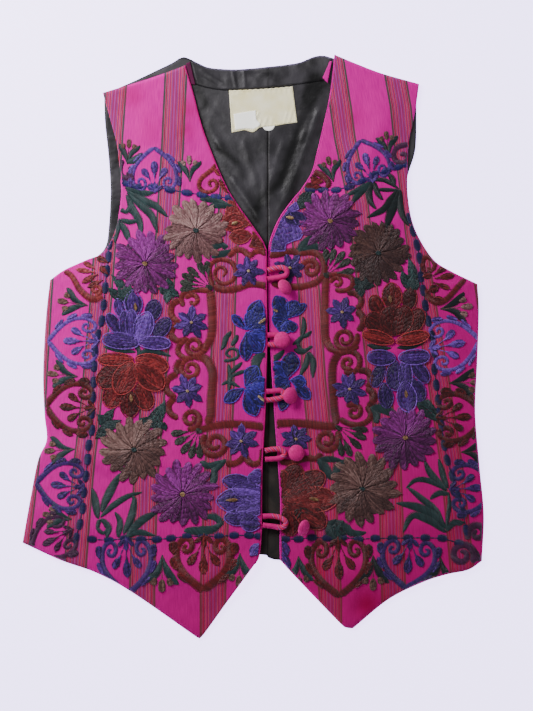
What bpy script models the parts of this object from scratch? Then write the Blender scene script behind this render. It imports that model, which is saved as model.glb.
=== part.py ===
"""An embroidered folk vest lying flat on its back. Metres, +Z up to the eye, +Y to the neck.

The two back halves lie on the table, the two fronts lie on them, and the
five cloth loops and five covered buttons lie across the front opening.
Every outline is a short table in millimetres, smoothed between its points.
"""
import math

import bpy
import bmesh
import numpy as np
from mathutils import Euler, Matrix, Vector

MM = 0.001
BACK_WALL = 1.5      # satin, its lining and the seams pressed together
FRONT_WALL = 2.0     # woven front, interlining and lining
SEAM_GAP = 0.3       # between pieces that touch
BAND_WALL = 1.0      # facing, label and tab
PUFF = 3.0           # how far the fronts stand up off the back
LEFT_EDGE_LIFT = 3.4     # the left front rides on the loop roots
RIGHT_EDGE_LIFT = 0.2
LOOP_RADIUS = 2.2
BUTTON_RADIUS = 8.25
CENTRE_BACK_X = 15.0
LOOP_Z = 6.6

# Outlines. Each row is x, y in millimetres, named by the sewn edge.
SHOULDER_LEFT = [(-150.3, 253.3), (-130, 259.6), (-109, 266), (-88, 273.2), (-68.2, 280.6)]
NECK_LEFT = [(13.5, 96), (9, 106), (-0.2, 119.4), (-14, 139), (-25, 156), (-36, 180),
             (-48, 210.5), (-54, 229.4), (-59.8, 252), (-68.2, 280.6)]
CENTRE_LEFT = [(2.2, -217.5), (6.2, -208.7), (8.5, -184), (8.7, -154), (9.5, -114), (12, -70),
               (13, -34), (14, 6), (13.7, 50), (13.5, 96)]
HEM_LEFT_SIDE = [(-230.6, -196.8), (-193, -214), (-156.5, -227), (-121.4, -246.2), (-56, -291.6)]
HEM_LEFT_POINT = [(-56, -291.6), (-50.5, -290), (-25.7, -255.8), (2.2, -217.5)]
SIDE_LEFT = [(-230.6, -196.8), (-223, -154), (-215, -114), (-206.5, -94), (-208.5, -70),
             (-210, -34), (-209, 0), (-206.5, 36), (-203, 66)]
ARMHOLE_LEFT = [(-203, 66), (-189, 76), (-167, 86), (-150.5, 93.5), (-138.5, 114), (-132.3, 147),
                (-132.7, 168), (-136, 200.2), (-141, 220), (-150.3, 253.3)]
SHOULDER_RIGHT = [(166.2, 262.2), (130, 272.4), (104, 282.2), (81.8, 291.4)]
NECK_RIGHT = [(15, 88), (17.4, 106), (26.3, 127.4), (39, 145.3), (49, 157.4), (59, 174),
              (64.6, 195), (71.1, 222.4), (76.5, 247.4), (79.5, 268), (81.8, 291.4)]
CENTRE_RIGHT = [(27.3, -214.3), (27, -194), (27.5, -154), (24.5, -108), (21, -59), (18, -9),
                (15.5, 46), (15, 88)]
HEM_RIGHT_SIDE = [(229, -215), (215.4, -223.9), (193, -228.7), (169.2, -236.6), (135.7, -253.4),
                  (100, -282.5)]
HEM_RIGHT_POINT = [(100, -282.5), (94, -282), (86.3, -276.5), (44.8, -233.4), (27.3, -214.3)]
SIDE_RIGHT = [(229, -215), (231, -169), (227, -124), (223, -79), (222.5, -54), (224.5, -14),
              (226, 36), (224.5, 62)]
ARMHOLE_RIGHT = [(224.5, 62), (196, 76), (181, 86), (167.3, 106), (159, 126), (155, 150),
                 (154.5, 170), (155.9, 203), (159.5, 221), (163.1, 240), (166.2, 262.2)]
BACK_TOP_LEFT = [(-149, 252), (-130, 260.4), (-117.3, 266), (-98.4, 275), (-80.8, 283.5),
                 (-73.8, 288), (-68.9, 289.4)]
BACK_NECK_LEFT = [(-68.9, 289.4), (-64, 287.8), (-56.9, 284.2), (-46.4, 279.4), (-35.9, 277.7),
                  (-18.3, 276.9), (0, 278), (CENTRE_BACK_X, 279.5)]
BACK_NECK_RIGHT = [(CENTRE_BACK_X, 279.5), (32, 281.4), (47, 284), (60.4, 289.4), (70.2, 290.7),
                   (80, 288.2)]
BACK_TOP_RIGHT = [(80, 288.2), (104, 279.5), (130, 270), (164, 260)]
BACK_ARMHOLE_LEFT = [(-203, 66), (-178, 80), (-156, 90), (-147, 101), (-144.3, 120), (-142.9, 142),
                     (-142.7, 162), (-144.7, 191), (-148.2, 225), (-149, 252)]
BACK_ARMHOLE_RIGHT = [(224.5, 62), (196, 74), (174, 91), (157, 113), (151.5, 140), (154.3, 168),
                      (161.3, 191), (163.3, 207), (163.6, 239), (164, 260)]
BACK_HEM_LEFT = [(-230.6, -196.8), (-153, -203), (-73, -206.5), (6, -208.7), (CENTRE_BACK_X, -211.5)]
BACK_HEM_RIGHT = [(CENTRE_BACK_X, -211.5), (27, -214.3), (90, -217), (150, -217.5), (229, -215)]
CENTRE_BACK = [(CENTRE_BACK_X, -211.5), (CENTRE_BACK_X, 30), (CENTRE_BACK_X, 279.5)]

# The largest folds: x and y of both ends, half width, height, all in millimetres.
FOLDS = [
    ("waist_left", -206, -92, -140, -120, 16, 2.4),
    ("hip_left", -200, -165, -120, -190, 22, 1.8),
    ("bust_left", -150, 60, -70, 20, 34, 2.2),
    ("hem_left", -120, -215, -30, -240, 24, 1.8),
    ("chest_left", -120, 225, -60, 150, 22, 1.6),
    ("waist_right", 224, -90, 160, -66, 18, 2.4),
    ("hip_right", 215, -165, 130, -185, 24, 1.8),
    ("bust_right", 165, 60, 85, 20, 34, 2.2),
    ("hem_right", 140, -215, 70, -235, 24, 1.8),
    ("chest_right", 135, 230, 80, 140, 22, 1.6),
]
# Soft creases in the satin inside the neck, same columns.
CREASES = [
    ("slant_right", 66, 236, 24, 118, 5, 1.3),
    ("slant_left", -42, 190, 6, 130, 6, 1.2),
    ("low_left", -20, 168, 12, 118, 4, 0.9),
    ("side_left", -50, 222, -30, 196, 5, 1.0),
]
# How far each loop's tip rises over its roots, in millimetres.
LOOP_RISE = {"loop_1": 2.6, "loop_2": 0.0, "loop_3": 0.4, "loop_4": 0.6, "loop_5": 0.6}
# Loops: each row is x, y along the tube from the upper root round to the lower one.
LOOPS = {
    "loop_1": [(14.6, 75.6), (22, 77.6), (29, 78.2), (33.6, 75.6), (33.2, 71.2), (28, 69), (14.6, 66.8)],
    "loop_2": [(14.6, 10.9), (22, 11), (29.5, 10.6), (34.4, 6.2), (29.5, 1.6), (22, 1.2), (14.6, 1.6)],
    "loop_3": [(13.4, -45.4), (20, -45), (27.5, -44.6), (31.2, -48.8), (27.3, -52), (20, -53.4),
               (13.4, -54.2)],
    "loop_4": [(11.9, -104.6), (19, -103.2), (27, -103.2), (32, -107.4), (27.8, -111.6),
               (20, -112.8), (11.9, -113.3)],
    "loop_5": [(9.7, -170.2), (18, -169.8), (27, -171.4), (33, -176.2), (29, -181.2), (19, -180),
               (9.7, -179)],
}
# Buttons: x, y of the disc, lift off the right front, tip about Y, tip about X.
BUTTONS = {
    "button_1": (32.4, 59.2, 0.3, 44, -26),
    "button_2": (29.0, 6.0, 1.6, 0, 0),
    "button_3": (37.8, -49.6, 0.3, 33, 0),
    "button_4": (43.7, -106.7, 0.3, 16, -6),
    "button_5": (51.4, -181.5, 0.3, 54, 14),
}
# Turned profile of a covered button: radius, height.
BUTTON_PROFILE = [(0.0, 9.4), (2.4, 9.2), (4.8, 8.6), (6.7, 7.6), (7.9, 6.3), (BUTTON_RADIUS, 5.0),
                  (7.8, 4.0), (6.4, 3.4), (1.9, 3.1), (1.7, 0.4), (1.4, 0.0), (0.0, 0.0)]

for leftover in list(bpy.data.objects):
    bpy.data.objects.remove(leftover)
vest = bpy.data.collections.new("folk_vest")
bpy.context.scene.collection.children.link(vest)


def material(name, colour):
    made = bpy.data.materials.new(name)
    made.use_nodes = True
    made.node_tree.nodes["Principled BSDF"].inputs["Base Color"].default_value = (*colour, 1)
    made.diffuse_color = (*colour, 1)
    return made


def smooth(t):
    t = min(max(t, 0.0), 1.0)
    return t * t * (3 - 2 * t)


def through(points, count):
    """Points of a smooth curve through the table's rows, evenly spaced along it."""
    rows = np.array([p[:2] for p in points], float)
    ends = np.vstack([2 * rows[0] - rows[1], rows, 2 * rows[-1] - rows[-2]])
    fine = []
    for i in range(len(rows) - 1):
        a, b, c, d = ends[i:i + 4]
        for t in np.linspace(0, 1, 16, endpoint=False):
            fine.append(b + 0.5 * t * (c - a + t * (2 * a - 5 * b + 4 * c - d + t * (3 * (b - c) + d - a))))
    fine.append(rows[-1])
    fine = np.array(fine)
    along = np.concatenate([[0], np.cumsum(np.linalg.norm(np.diff(fine, axis=0), axis=1))])
    at = np.linspace(0, along[-1], count + 1)
    return np.stack([np.interp(at, along, fine[:, 0]), np.interp(at, along, fine[:, 1])], 1)


def edge(*runs):
    """One edge of a panel from (table, pieces) runs, end to end."""
    made = through(*runs[0])
    for run in runs[1:]:
        made = np.vstack([made, through(*run)[1:]])
    return made


def patch(bottom, top, left, right):
    """Panel points between four edges, each edge running left to right or bottom to top."""
    across = len(bottom)
    up = len(left)
    u = np.linspace(0, 1, across)[None, :, None]
    v = np.linspace(0, 1, up)[:, None, None]
    ruled = (1 - v) * bottom[None] + v * top[None] + (1 - u) * left[:, None] + u * right[:, None]
    corners = (1 - u) * (1 - v) * bottom[0] + u * (1 - v) * bottom[-1]
    corners = corners + (1 - u) * v * top[0] + u * v * top[-1]
    return ruled - corners


def ridge(rows, x, y):
    """Height of the soft ridges in a folds table at x, y."""
    total = 0.0
    for name, ax, ay, bx, by, half, height in rows:
        length = math.hypot(bx - ax, by - ay)
        along = ((x - ax) * (bx - ax) + (y - ay) * (by - ay)) / length
        off = ((x - ax) * (by - ay) - (y - ay) * (bx - ax)) / length
        ends = smooth((along + half) / (1.5 * half)) * smooth((length + half - along) / (1.5 * half))
        total += height * ends * math.exp(-2 * (off / half) ** 2)
    return total


def column(table):
    """x of an edge table as a function of y."""
    rows = sorted((p[1], p[0]) for p in table)
    ys = [r[0] for r in rows]
    xs = [r[1] for r in rows]
    return lambda y: float(np.interp(y, ys, xs))


def level(table):
    """y of an edge table as a function of x."""
    rows = sorted((p[0], p[1]) for p in table)
    xs = [r[0] for r in rows]
    ys = [r[1] for r in rows]
    return lambda x: float(np.interp(x, xs, ys))


side_l = column(SIDE_LEFT + ARMHOLE_LEFT[1:])
side_r = column(SIDE_RIGHT + ARMHOLE_RIGHT[1:])
centre_l = column(CENTRE_LEFT + NECK_LEFT[1:])
centre_r = column(CENTRE_RIGHT + NECK_RIGHT[1:])
hem_l = level(HEM_LEFT_SIDE + HEM_LEFT_POINT[1:])
hem_r = level(HEM_RIGHT_SIDE + HEM_RIGHT_POINT[1:])


def drop(y):
    """How far the front points come down to the table below the back's hem."""
    return (BACK_WALL + SEAM_GAP - 0.2) * smooth((-226 - y) / 40)


def front_left_under(x, y):
    """Height of the left front's inside."""
    shoulder = 253.3 + (x + 150.3) * 0.3325 - y
    body = smooth((x - side_l(y)) / 38) * smooth(shoulder / 60)
    closure = 0.5 + (LEFT_EDGE_LIFT - 0.5) * smooth((150 - y) / 60) - 0.9 * smooth((-170 - y) / 50)
    inward = smooth((centre_l(y) - x) / 45)
    hem = 0.25 + 0.75 * smooth((y - hem_l(x)) / 55)
    puff = (1 - inward) * closure + inward * hem * (PUFF + ridge(FOLDS, x, y))
    return BACK_WALL + SEAM_GAP - drop(y) + body * puff


def front_right_under(x, y):
    """Height of the right front's inside."""
    shoulder = 291.4 - (x - 81.8) * 0.346 - y
    body = smooth((side_r(y) - x) / 38) * smooth(shoulder / 60)
    inward = smooth((x - centre_r(y) - 18) / 45)
    hem = 0.25 + 0.75 * smooth((y - hem_r(x)) / 55)
    puff = (1 - inward) * RIGHT_EDGE_LIFT + inward * hem * (PUFF + ridge(FOLDS, x, y))
    return BACK_WALL + SEAM_GAP - drop(y) + body * puff


def lining_top(x, y):
    """Height of the satin inside the neck, creased only where it shows."""
    shows = smooth((248 - y) / 10) * smooth((y - 112) / 14)
    shows *= smooth((x - centre_l(y) - 3) / 10) * smooth((centre_r(y) - 3 - x) / 10)
    return BACK_WALL + shows * ridge(CREASES, x, y)


def sheet(name, grid, under, over, paint):
    """A closed wall over a grid of plan points, with its own heights below and above."""
    up, across = grid.shape[:2]
    shell = bmesh.new()
    layers = []
    for height in (under, over):
        rows = []
        for row in grid:
            rows.append([shell.verts.new((x * MM, y * MM, height(x, y) * MM)) for x, y in row])
        layers.append(rows)
    low, high = layers
    for j in range(up - 1):
        for i in range(across - 1):
            shell.faces.new((low[j][i], low[j + 1][i], low[j + 1][i + 1], low[j][i + 1]))
            shell.faces.new((high[j][i], high[j][i + 1], high[j + 1][i + 1], high[j + 1][i]))
    rim = [(0, i) for i in range(across)] + [(j, across - 1) for j in range(1, up)]
    rim += [(up - 1, i) for i in range(across - 2, -1, -1)] + [(j, 0) for j in range(up - 2, 0, -1)]
    for (j, i), (k, m) in zip(rim, rim[1:] + rim[:1]):
        shell.faces.new((low[j][i], low[k][m], high[k][m], high[j][i]))
    bmesh.ops.recalc_face_normals(shell, faces=shell.faces)
    mesh = bpy.data.meshes.new(name)
    shell.to_mesh(mesh)
    shell.free()
    mesh.materials.append(paint)
    made = bpy.data.objects.new(name, mesh)
    vest.objects.link(made)
    return made


black_satin = material("black_satin", (0.012, 0.012, 0.016))
facing_satin = material("facing_satin", (0.016, 0.016, 0.02))
pink_cloth = material("pink_striped_cotton", (0.75, 0.01, 0.3))
facing_cloth = material("pink_facing_cotton", (0.5, 0.01, 0.2))
loop_cloth = material("loop_bias_cotton", (0.75, 0.02, 0.3))
button_cloth = material("button_cotton", (0.8, 0.01, 0.32))
label_cloth = material("cream_label", (0.8, 0.76, 0.62))
tab_cloth = material("white_tab", (0.85, 0.86, 0.84))

# Back halves: flat underneath, on the table, and joined down the centre back seam.
back_left = patch(
    edge((BACK_HEM_LEFT, 12)),
    edge((BACK_TOP_LEFT, 6), (BACK_NECK_LEFT, 6)),
    edge((SIDE_LEFT, 10), (BACK_ARMHOLE_LEFT, 12)),
    edge((CENTRE_BACK, 22)),
)
back_left[:, -1, 0] -= SEAM_GAP / 2
sheet("back_left", back_left, lambda x, y: 0.0, lining_top, black_satin)
back_right = patch(
    edge((BACK_HEM_RIGHT, 12)),
    edge((BACK_NECK_RIGHT, 6), (BACK_TOP_RIGHT, 6)),
    edge((CENTRE_BACK, 22)),
    edge((SIDE_RIGHT, 10), (BACK_ARMHOLE_RIGHT, 12)),
)
back_right[:, 0, 0] += SEAM_GAP / 2
sheet("back_right", back_right, lambda x, y: 0.0, lining_top, black_satin)

# Fronts: the big swells are in both faces of the wall, which stays one thickness.
front_left = patch(
    edge((HEM_LEFT_SIDE, 13), (HEM_LEFT_POINT, 6)),
    edge((SHOULDER_LEFT, 19)),
    edge((SIDE_LEFT, 16), (ARMHOLE_LEFT, 16)),
    edge((CENTRE_LEFT, 16), (NECK_LEFT, 16)),
)
sheet("front_left", front_left, front_left_under,
      lambda x, y: front_left_under(x, y) + FRONT_WALL, pink_cloth)
front_right = patch(
    edge((HEM_RIGHT_POINT[::-1], 7), (HEM_RIGHT_SIDE[::-1], 12)),
    edge((SHOULDER_RIGHT[::-1], 19)),
    edge((CENTRE_RIGHT, 16), (NECK_RIGHT, 16)),
    edge((SIDE_RIGHT, 16), (ARMHOLE_RIGHT, 16)),
)
sheet("front_right", front_right, front_right_under,
      lambda x, y: front_right_under(x, y) + FRONT_WALL, pink_cloth)

# Facing band round the inside of the back neck.
band_low = BACK_WALL + SEAM_GAP
band_high = band_low + BAND_WALL
facing = patch(
    edge(([(-56.6, 261.4), (-40, 257.4), (-25, 256.4), (7, 258), (32, 260.6), (55, 263.6), (75.6, 266.6)], 24)),
    edge(([(-62.2, 285.6), (-56.5, 282.8), (-46.4, 278.4), (-35.9, 276.7), (-18.3, 275.9), (0, 277),
           (32, 280.4), (47, 283), (60.4, 288.4), (70.2, 289.6), (78, 288)], 24)),
    edge(([(-56.6, 261.4), (-62.2, 285.6)], 3)),
    edge(([(75.6, 266.6), (78, 288)], 3)),
)
sheet("back_neck_facing", facing, lambda x, y: band_low, lambda x, y: band_high, facing_satin)

# The fronts' own facings, where the photo shows their edges inside the neck.
strip = patch(
    edge(([(-61.9, 261.6), (-57.5, 261.4)], 2)),
    edge(([(-67.3, 282.6), (-62.9, 284.6)], 2)),
    edge(([(-61.9, 261.6), (-67.3, 282.6)], 6)),
    edge(([(-57.5, 261.4), (-62.9, 284.6)], 6)),
)
strip[:, :, 0] += np.linspace(0.2, 0, 3)[None, :]
flap = patch(
    edge(([(69.6, 268.2), (76.4, 262.8)], 3)),
    edge(([(76.8, 285), (80.4, 284.6)], 3)),
    edge(([(69.6, 268.2), (76.8, 285)], 4)),
    edge(([(76.4, 262.8), (80.4, 284.6)], 4)),
)
flap[:, -1, 0] -= 1.6
sheet("front_facing_right", flap, lambda x, y: band_high + SEAM_GAP,
      lambda x, y: band_high + SEAM_GAP + BAND_WALL, facing_cloth)
sheet("front_facing_left", strip, lambda x, y: band_low, lambda x, y: band_high, facing_cloth)

# Sewn label, blank, with a blank care tab over its lower left.
label = patch(
    edge(([(-21.2, 213.6), (-14, 215), (-8, 216), (0, 214), (7, 218.6), (14, 219.4), (22, 220.3),
           (34, 222.4), (44.2, 223.7)], 18)),
    edge(([(-24, 255.4), (-8, 256), (8, 256.8), (24, 258), (39.7, 259.4)], 18)),
    edge(([(-21.2, 213.6), (-24, 255.4)], 4)),
    edge(([(44.2, 223.7), (39.7, 259.4)], 4)),
)
label_high = band_low + BAND_WALL
sheet("label", label, lambda x, y: lining_top(x, y) + SEAM_GAP,
      lambda x, y: max(label_high, lining_top(x, y) + SEAM_GAP + BAND_WALL), label_cloth)
tab = patch(
    edge(([(-17.6, 216.2), (-8, 217.6), (0.6, 217)], 5)),
    edge(([(-19.4, 232), (-8, 234), (2.7, 235.7)], 5)),
    edge(([(-17.6, 216.2), (-19.4, 232)], 3)),
    edge(([(0.6, 217), (7.2, 221.4), (3.4, 227), (2.7, 235.7)], 3)),
)
sheet("care_tab", tab, lambda x, y: label_high + SEAM_GAP + lining_top(x, y) - BACK_WALL,
      lambda x, y: label_high + SEAM_GAP + BAND_WALL + lining_top(x, y) - BACK_WALL, tab_cloth)

# Loops: cloth tubes whose two ends are sewn into the left front's edge.
for name, rows in LOOPS.items():
    spine = bpy.data.curves.new(name, "CURVE")
    spine.dimensions = "3D"
    spine.bevel_depth = LOOP_RADIUS * MM
    spine.bevel_resolution = 2
    spine.use_fill_caps = True
    run = through(rows, 18)
    line = spine.splines.new("POLY")
    line.points.add(len(run) - 1)
    for i, (point, (x, y)) in enumerate(zip(line.points, run)):
        rise = LOOP_RISE[name] * math.sin(math.pi * i / (len(run) - 1)) ** 2
        point.co = (x * MM, y * MM, (LOOP_Z + rise) * MM, 1)
    made = bpy.data.objects.new(name, spine)
    spine.materials.append(loop_cloth)
    vest.objects.link(made)

# Covered buttons: one turned profile, tipped as each one lies.
for name, (x, y, lift, tip_y, tip_x) in BUTTONS.items():
    turned = bmesh.new()
    rows = [turned.verts.new((r * MM, 0, z * MM)) for r, z in BUTTON_PROFILE]
    for a, b in zip(rows, rows[1:]):
        turned.edges.new((a, b))
    mesh = bpy.data.meshes.new(name)
    turned.to_mesh(mesh)
    turned.free()
    mesh.materials.append(button_cloth)
    made = bpy.data.objects.new(name, mesh)
    screw = made.modifiers.new("turn", "SCREW")
    screw.steps = 20
    screw.render_steps = 20
    screw.use_merge_vertices = True
    screw.merge_threshold = 0.00002
    screw.use_normal_calculate = True
    turn = Euler((math.radians(tip_x), math.radians(tip_y), 0)).to_matrix()
    disc = turn @ Vector((0, 0, 6.2))
    rim = max(-(turn @ Vector((r * math.cos(a), r * math.sin(a), z)) - disc).z
              for r, z in BUTTON_PROFILE for a in np.linspace(0, 2 * math.pi, 20, endpoint=False))
    floor = max(front_right_under(x + dx, y + dy) for dx in (-8, 0, 8) for dy in (-8, 0, 8)) + FRONT_WALL
    height = floor + lift + rim
    made.matrix_world = Matrix.Translation((Vector((x, y, height)) - disc) * MM) @ turn.to_4x4()
    vest.objects.link(made)
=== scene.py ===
"""An embroidered folk vest lying flat, dressed over its solids. Metres, +Z up to the eye.

The stitching, the warp bands and the painted shadow patches are placed on the cutter's draft
sheet: millimetres right of and down from its top left corner, which is at x -253,
y 346 mm. Every other plan position is in the vest's own frame, in millimetres.
"""
import math

import bpy
import numpy as np
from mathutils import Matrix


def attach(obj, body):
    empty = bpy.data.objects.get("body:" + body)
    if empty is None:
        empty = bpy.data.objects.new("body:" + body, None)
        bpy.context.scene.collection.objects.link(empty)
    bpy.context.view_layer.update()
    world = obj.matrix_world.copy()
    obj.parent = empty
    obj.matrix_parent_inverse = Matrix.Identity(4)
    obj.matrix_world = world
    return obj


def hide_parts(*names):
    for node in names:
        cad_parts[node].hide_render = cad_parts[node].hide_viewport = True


# The vest's solids, the table under it, the lamps and the eye straight above.
# The table is a frosted pale lavender board, lit a little from below; one broad
# soft lamp stands at the upper left, which is why the cloth is brightest there.
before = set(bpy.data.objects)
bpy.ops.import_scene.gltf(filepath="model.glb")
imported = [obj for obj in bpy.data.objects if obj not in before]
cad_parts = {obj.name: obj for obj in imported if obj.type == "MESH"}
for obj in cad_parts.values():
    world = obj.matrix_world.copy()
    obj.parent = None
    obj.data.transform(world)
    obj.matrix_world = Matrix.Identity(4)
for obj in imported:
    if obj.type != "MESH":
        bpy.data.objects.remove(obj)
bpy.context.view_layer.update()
MM = 0.001
SHEET_X, SHEET_Y = -253.0, 346.0


def linear(hex_colour):
    """An sRGB hex colour as linear light."""
    parts = [int(hex_colour[i:i + 2], 16) / 255 for i in (1, 3, 5)]
    return [p / 12.92 if p <= 0.04045 else ((p + 0.055) / 1.055) ** 2.4 for p in parts]


def add(tree, kind, values=(), stops=(), **settings):
    """Adds a shader node; a value is a number, a colour or a link, a ramp's stop is a place and a colour."""
    made = tree.nodes.new("ShaderNode" + kind)
    for name, setting in settings.items():
        setattr(made, name, setting)
    for k, (start, colour) in enumerate(stops):
        stop = made.color_ramp.elements[k] if k < 2 else made.color_ramp.elements.new(start)
        stop.position, stop.color = start, (*linear(colour), 1)
    for name, value in dict(values).items():
        if isinstance(value, bpy.types.NodeSocket):
            tree.links.new(value, made.inputs[name])
        else:
            made.inputs[name].default_value = value
    return made


def finish_of(name, roughness, **sockets):
    """A new material and its shader, with the plain values set on the shader."""
    made = bpy.data.materials.new(name)
    made.use_nodes = True
    shader = made.node_tree.nodes["Principled BSDF"]
    shader.inputs["Roughness"].default_value = roughness
    for socket, value in sockets.items():
        shader.inputs[socket.replace("_", " ")].default_value = value
    return made, made.node_tree, shader


board, tree, shader = finish_of("frosted_acrylic_board", 0.9, Emission_Strength=4.4)
shader.inputs["Emission Color"].default_value = (0.66, 0.55, 1.0, 1)
grain = add(tree, "TexNoise", {"Scale": 40.0, "Detail": 2.0})
tint = add(tree, "ValToRGB", {"Fac": grain.outputs["Fac"]}, ((0, "#ECE6FD"), (1, "#F0EBFF")))
tree.links.new(tint.outputs["Color"], shader.inputs["Base Color"])
bpy.ops.mesh.primitive_plane_add(size=8, location=(0, 0, -0.0004))
table = bpy.context.object
table.name = "table_board"
table.data.materials.append(board)


def lamp(name, place, size, power, colour):
    """A soft square lamp aimed at the middle of the board."""
    light = bpy.data.lights.new(name, "AREA")
    light.size = size
    light.energy = power
    light.color = colour
    made = bpy.data.objects.new(name, light)
    made.location = place
    aim = -made.location.normalized()
    made.rotation_euler = aim.to_track_quat("-Z", "Y").to_euler()
    bpy.context.scene.collection.objects.link(made)


lamp("window_upper_left", (-0.68, 0.65, 0.68), 0.45, 16.5, (1.0, 0.97, 1.0))
lamp("soft_right", (1.4, -0.4, 1.6), 1.6, 3.5, (1.0, 0.96, 0.95))
sky = bpy.data.worlds.new("room")
sky.use_nodes = True
sky.node_tree.nodes["Background"].inputs["Color"].default_value = (0.93, 0.92, 1.0, 1)
sky.node_tree.nodes["Background"].inputs["Strength"].default_value = 0.33
bpy.context.scene.world = sky

# The view takes in 0.711 m from top to bottom, measured at the height of the cloth.
EYE_HEIGHT, VIEW_TALL, CLOTH_HEIGHT = 2.4, 0.711, 0.004
eye = bpy.data.objects.new("eye", bpy.data.cameras.new("eye"))
eye.data.sensor_fit = "VERTICAL"
eye.data.angle = 2 * math.atan(VIEW_TALL / 2 / (EYE_HEIGHT - CLOTH_HEIGHT))
eye.location = (0.0135, -0.0095, EYE_HEIGHT)
bpy.context.scene.collection.objects.link(eye)
bpy.context.scene.camera = eye

# Back: two halves of black satin, lining side up, seamed down the centre.
# Satin floats its warp over the weft, which gives a soft sheen and long creases.


def eased(t):
    """A soft step from 0 to 1."""
    t = np.clip(t, 0, 1)
    return t * t * (3 - 2 * t)


def lengths(rows):
    """How far along a line of points each of them lies."""
    return np.concatenate([[0], np.cumsum(np.hypot(*np.diff(rows, axis=0).T))])


def spots_at(rows, at):
    """The points of a line at those distances along it."""
    along = lengths(rows)
    return np.stack([np.interp(at, along, rows[:, 0]), np.interp(at, along, rows[:, 1])], 1)


def bend(rows, count):
    """A smooth curve through the rows, as evenly spaced points."""
    rows = np.array(rows, float)[:, :2]
    ends = np.vstack([2 * rows[0] - rows[1], rows, 2 * rows[-1] - rows[-2]])
    a, b, c, d = (ends[i:len(ends) - 3 + i, None] for i in range(4))
    t = np.linspace(0, 1, 12, endpoint=False)[None, :, None]
    fine = b + 0.5 * t * (c - a + t * (2 * a - 5 * b + 4 * c - d + t * (3 * (b - c) + d - a)))
    fine = np.vstack([fine.reshape(-1, 2), rows[-1:]])
    return spots_at(fine, np.linspace(0, lengths(fine)[-1], count + 1))


def edge(*runs):
    """One edge of a panel from (rows, pieces) runs, end to end."""
    made = bend(*runs[0])
    for run in runs[1:]:
        made = np.vstack([made, bend(*run)[1:]])
    return made


def panel(bottom, top, left, right):
    """Plan points of a panel between its four edges."""
    u = np.linspace(0, 1, len(bottom))[None, :, None]
    v = np.linspace(0, 1, len(left))[:, None, None]
    ruled = (1 - v) * bottom[None] + v * top[None] + (1 - u) * left[:, None] + u * right[:, None]
    corners = (1 - u) * (1 - v) * bottom[0] + u * (1 - v) * bottom[-1]
    return ruled - corners - (1 - u) * v * top[0] - u * v * top[-1]


def ridges(rows, x, y):
    """Height of soft ridges, each a line with a half width and a height."""
    total = np.zeros(np.shape(x))
    for ax, ay, bx, by, half, height in rows:
        long = math.hypot(bx - ax, by - ay)
        along = ((x - ax) * (bx - ax) + (y - ay) * (by - ay)) / long
        off = ((x - ax) * (by - ay) - (y - ay) * (bx - ax)) / long
        ends = eased((along + half) / (1.5 * half)) * eased((long + half - along) / (1.5 * half))
        total = total + height * ends * np.exp(-2 * (off / half) ** 2)
    return total


def ripple(x, y, wave, seed):
    """Soft unevenness between about -1 and 1, of that wavelength in millimetres."""
    rng = np.random.default_rng(seed)
    total = np.zeros(np.shape(x))
    for k in range(7):
        way = rng.uniform(0, 2 * math.pi)
        pace = 2 * math.pi / wave * rng.uniform(0.7, 1.5)
        total = total + np.sin(pace * (x * math.cos(way) + y * math.sin(way)) + rng.uniform(0, 7))
    return total / 4


def across(rows):
    """x of an edge as a function of y."""
    ys, xs = zip(*sorted((y, x) for x, y in rows))
    return lambda y: np.interp(y, ys, xs)


def up(rows):
    """y of an edge as a function of x."""
    xs, ys = zip(*sorted(rows))
    return lambda x: np.interp(x, xs, ys)


BACK_WALL, FRONT_WALL, SEAM_GAP, BAND_WALL = 1.5, 2.0, 0.3, 1.0
CENTRE_BACK = 15.0
SIDE_LEFT = [(-230.6, -196.8), (-223, -154), (-215, -114), (-206.5, -94), (-208.5, -70),
             (-210, -34), (-209, 0), (-206.5, 36), (-203, 66)]
SIDE_RIGHT = [(229, -215), (231, -169), (227, -124), (223, -79), (222.5, -54), (224.5, -14),
              (226, 36), (224.5, 62)]
CENTRE_LEFT = [(2.2, -217.5), (6.2, -208.7), (8.5, -184), (8.7, -154), (9.5, -114), (12, -70),
               (13, -34), (14, 6), (13.7, 50), (13.5, 96)]
CENTRE_RIGHT = [(27.3, -214.3), (27, -194), (27.5, -154), (24.5, -108), (21, -59), (18, -9),
                (15.5, 46), (15, 88)]
NECK_LEFT = [(13.5, 96), (9, 106), (-0.2, 119.4), (-14, 139), (-25, 156), (-36, 180),
             (-48, 210.5), (-54, 229.4), (-59.8, 252), (-68.2, 280.6)]
NECK_RIGHT = [(15, 88), (17.4, 106), (26.3, 127.4), (39, 145.3), (49, 157.4), (59, 174),
              (64.6, 195), (71.1, 222.4), (76.5, 247.4), (79.5, 268), (81.8, 291.4)]
centre_l, centre_r = across(CENTRE_LEFT + NECK_LEFT[1:]), across(CENTRE_RIGHT + NECK_RIGHT[1:])
BACK_CREASES = [
    # x, y, x, y of the ends, half width, height
    (66, 236, 24, 118, 5, 2.2), (52, 214, 30, 150, 4, 1.0), (-42, 190, 6, 130, 6, 1.6),
    (-20, 168, 12, 118, 4, 1.4), (-50, 222, -30, 196, 5, 1.2), (-10, 205, 4, 160, 4, 0.9),
    (30, 205, 18, 165, 4, 0.8), (-36, 205, -12, 170, 5, 1.1), (58, 232, 48, 205, 4, 0.9),
    (-44, 236, -30, 225, 4, 0.7), (10, 175, 14, 140, 3, 0.7),
    (20, 150, 34, 136, 3, 0.8), (2, 128, 26, 120, 3, 0.7), (-48, 200, -20, 178, 3.5, 1.0),
]


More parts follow.
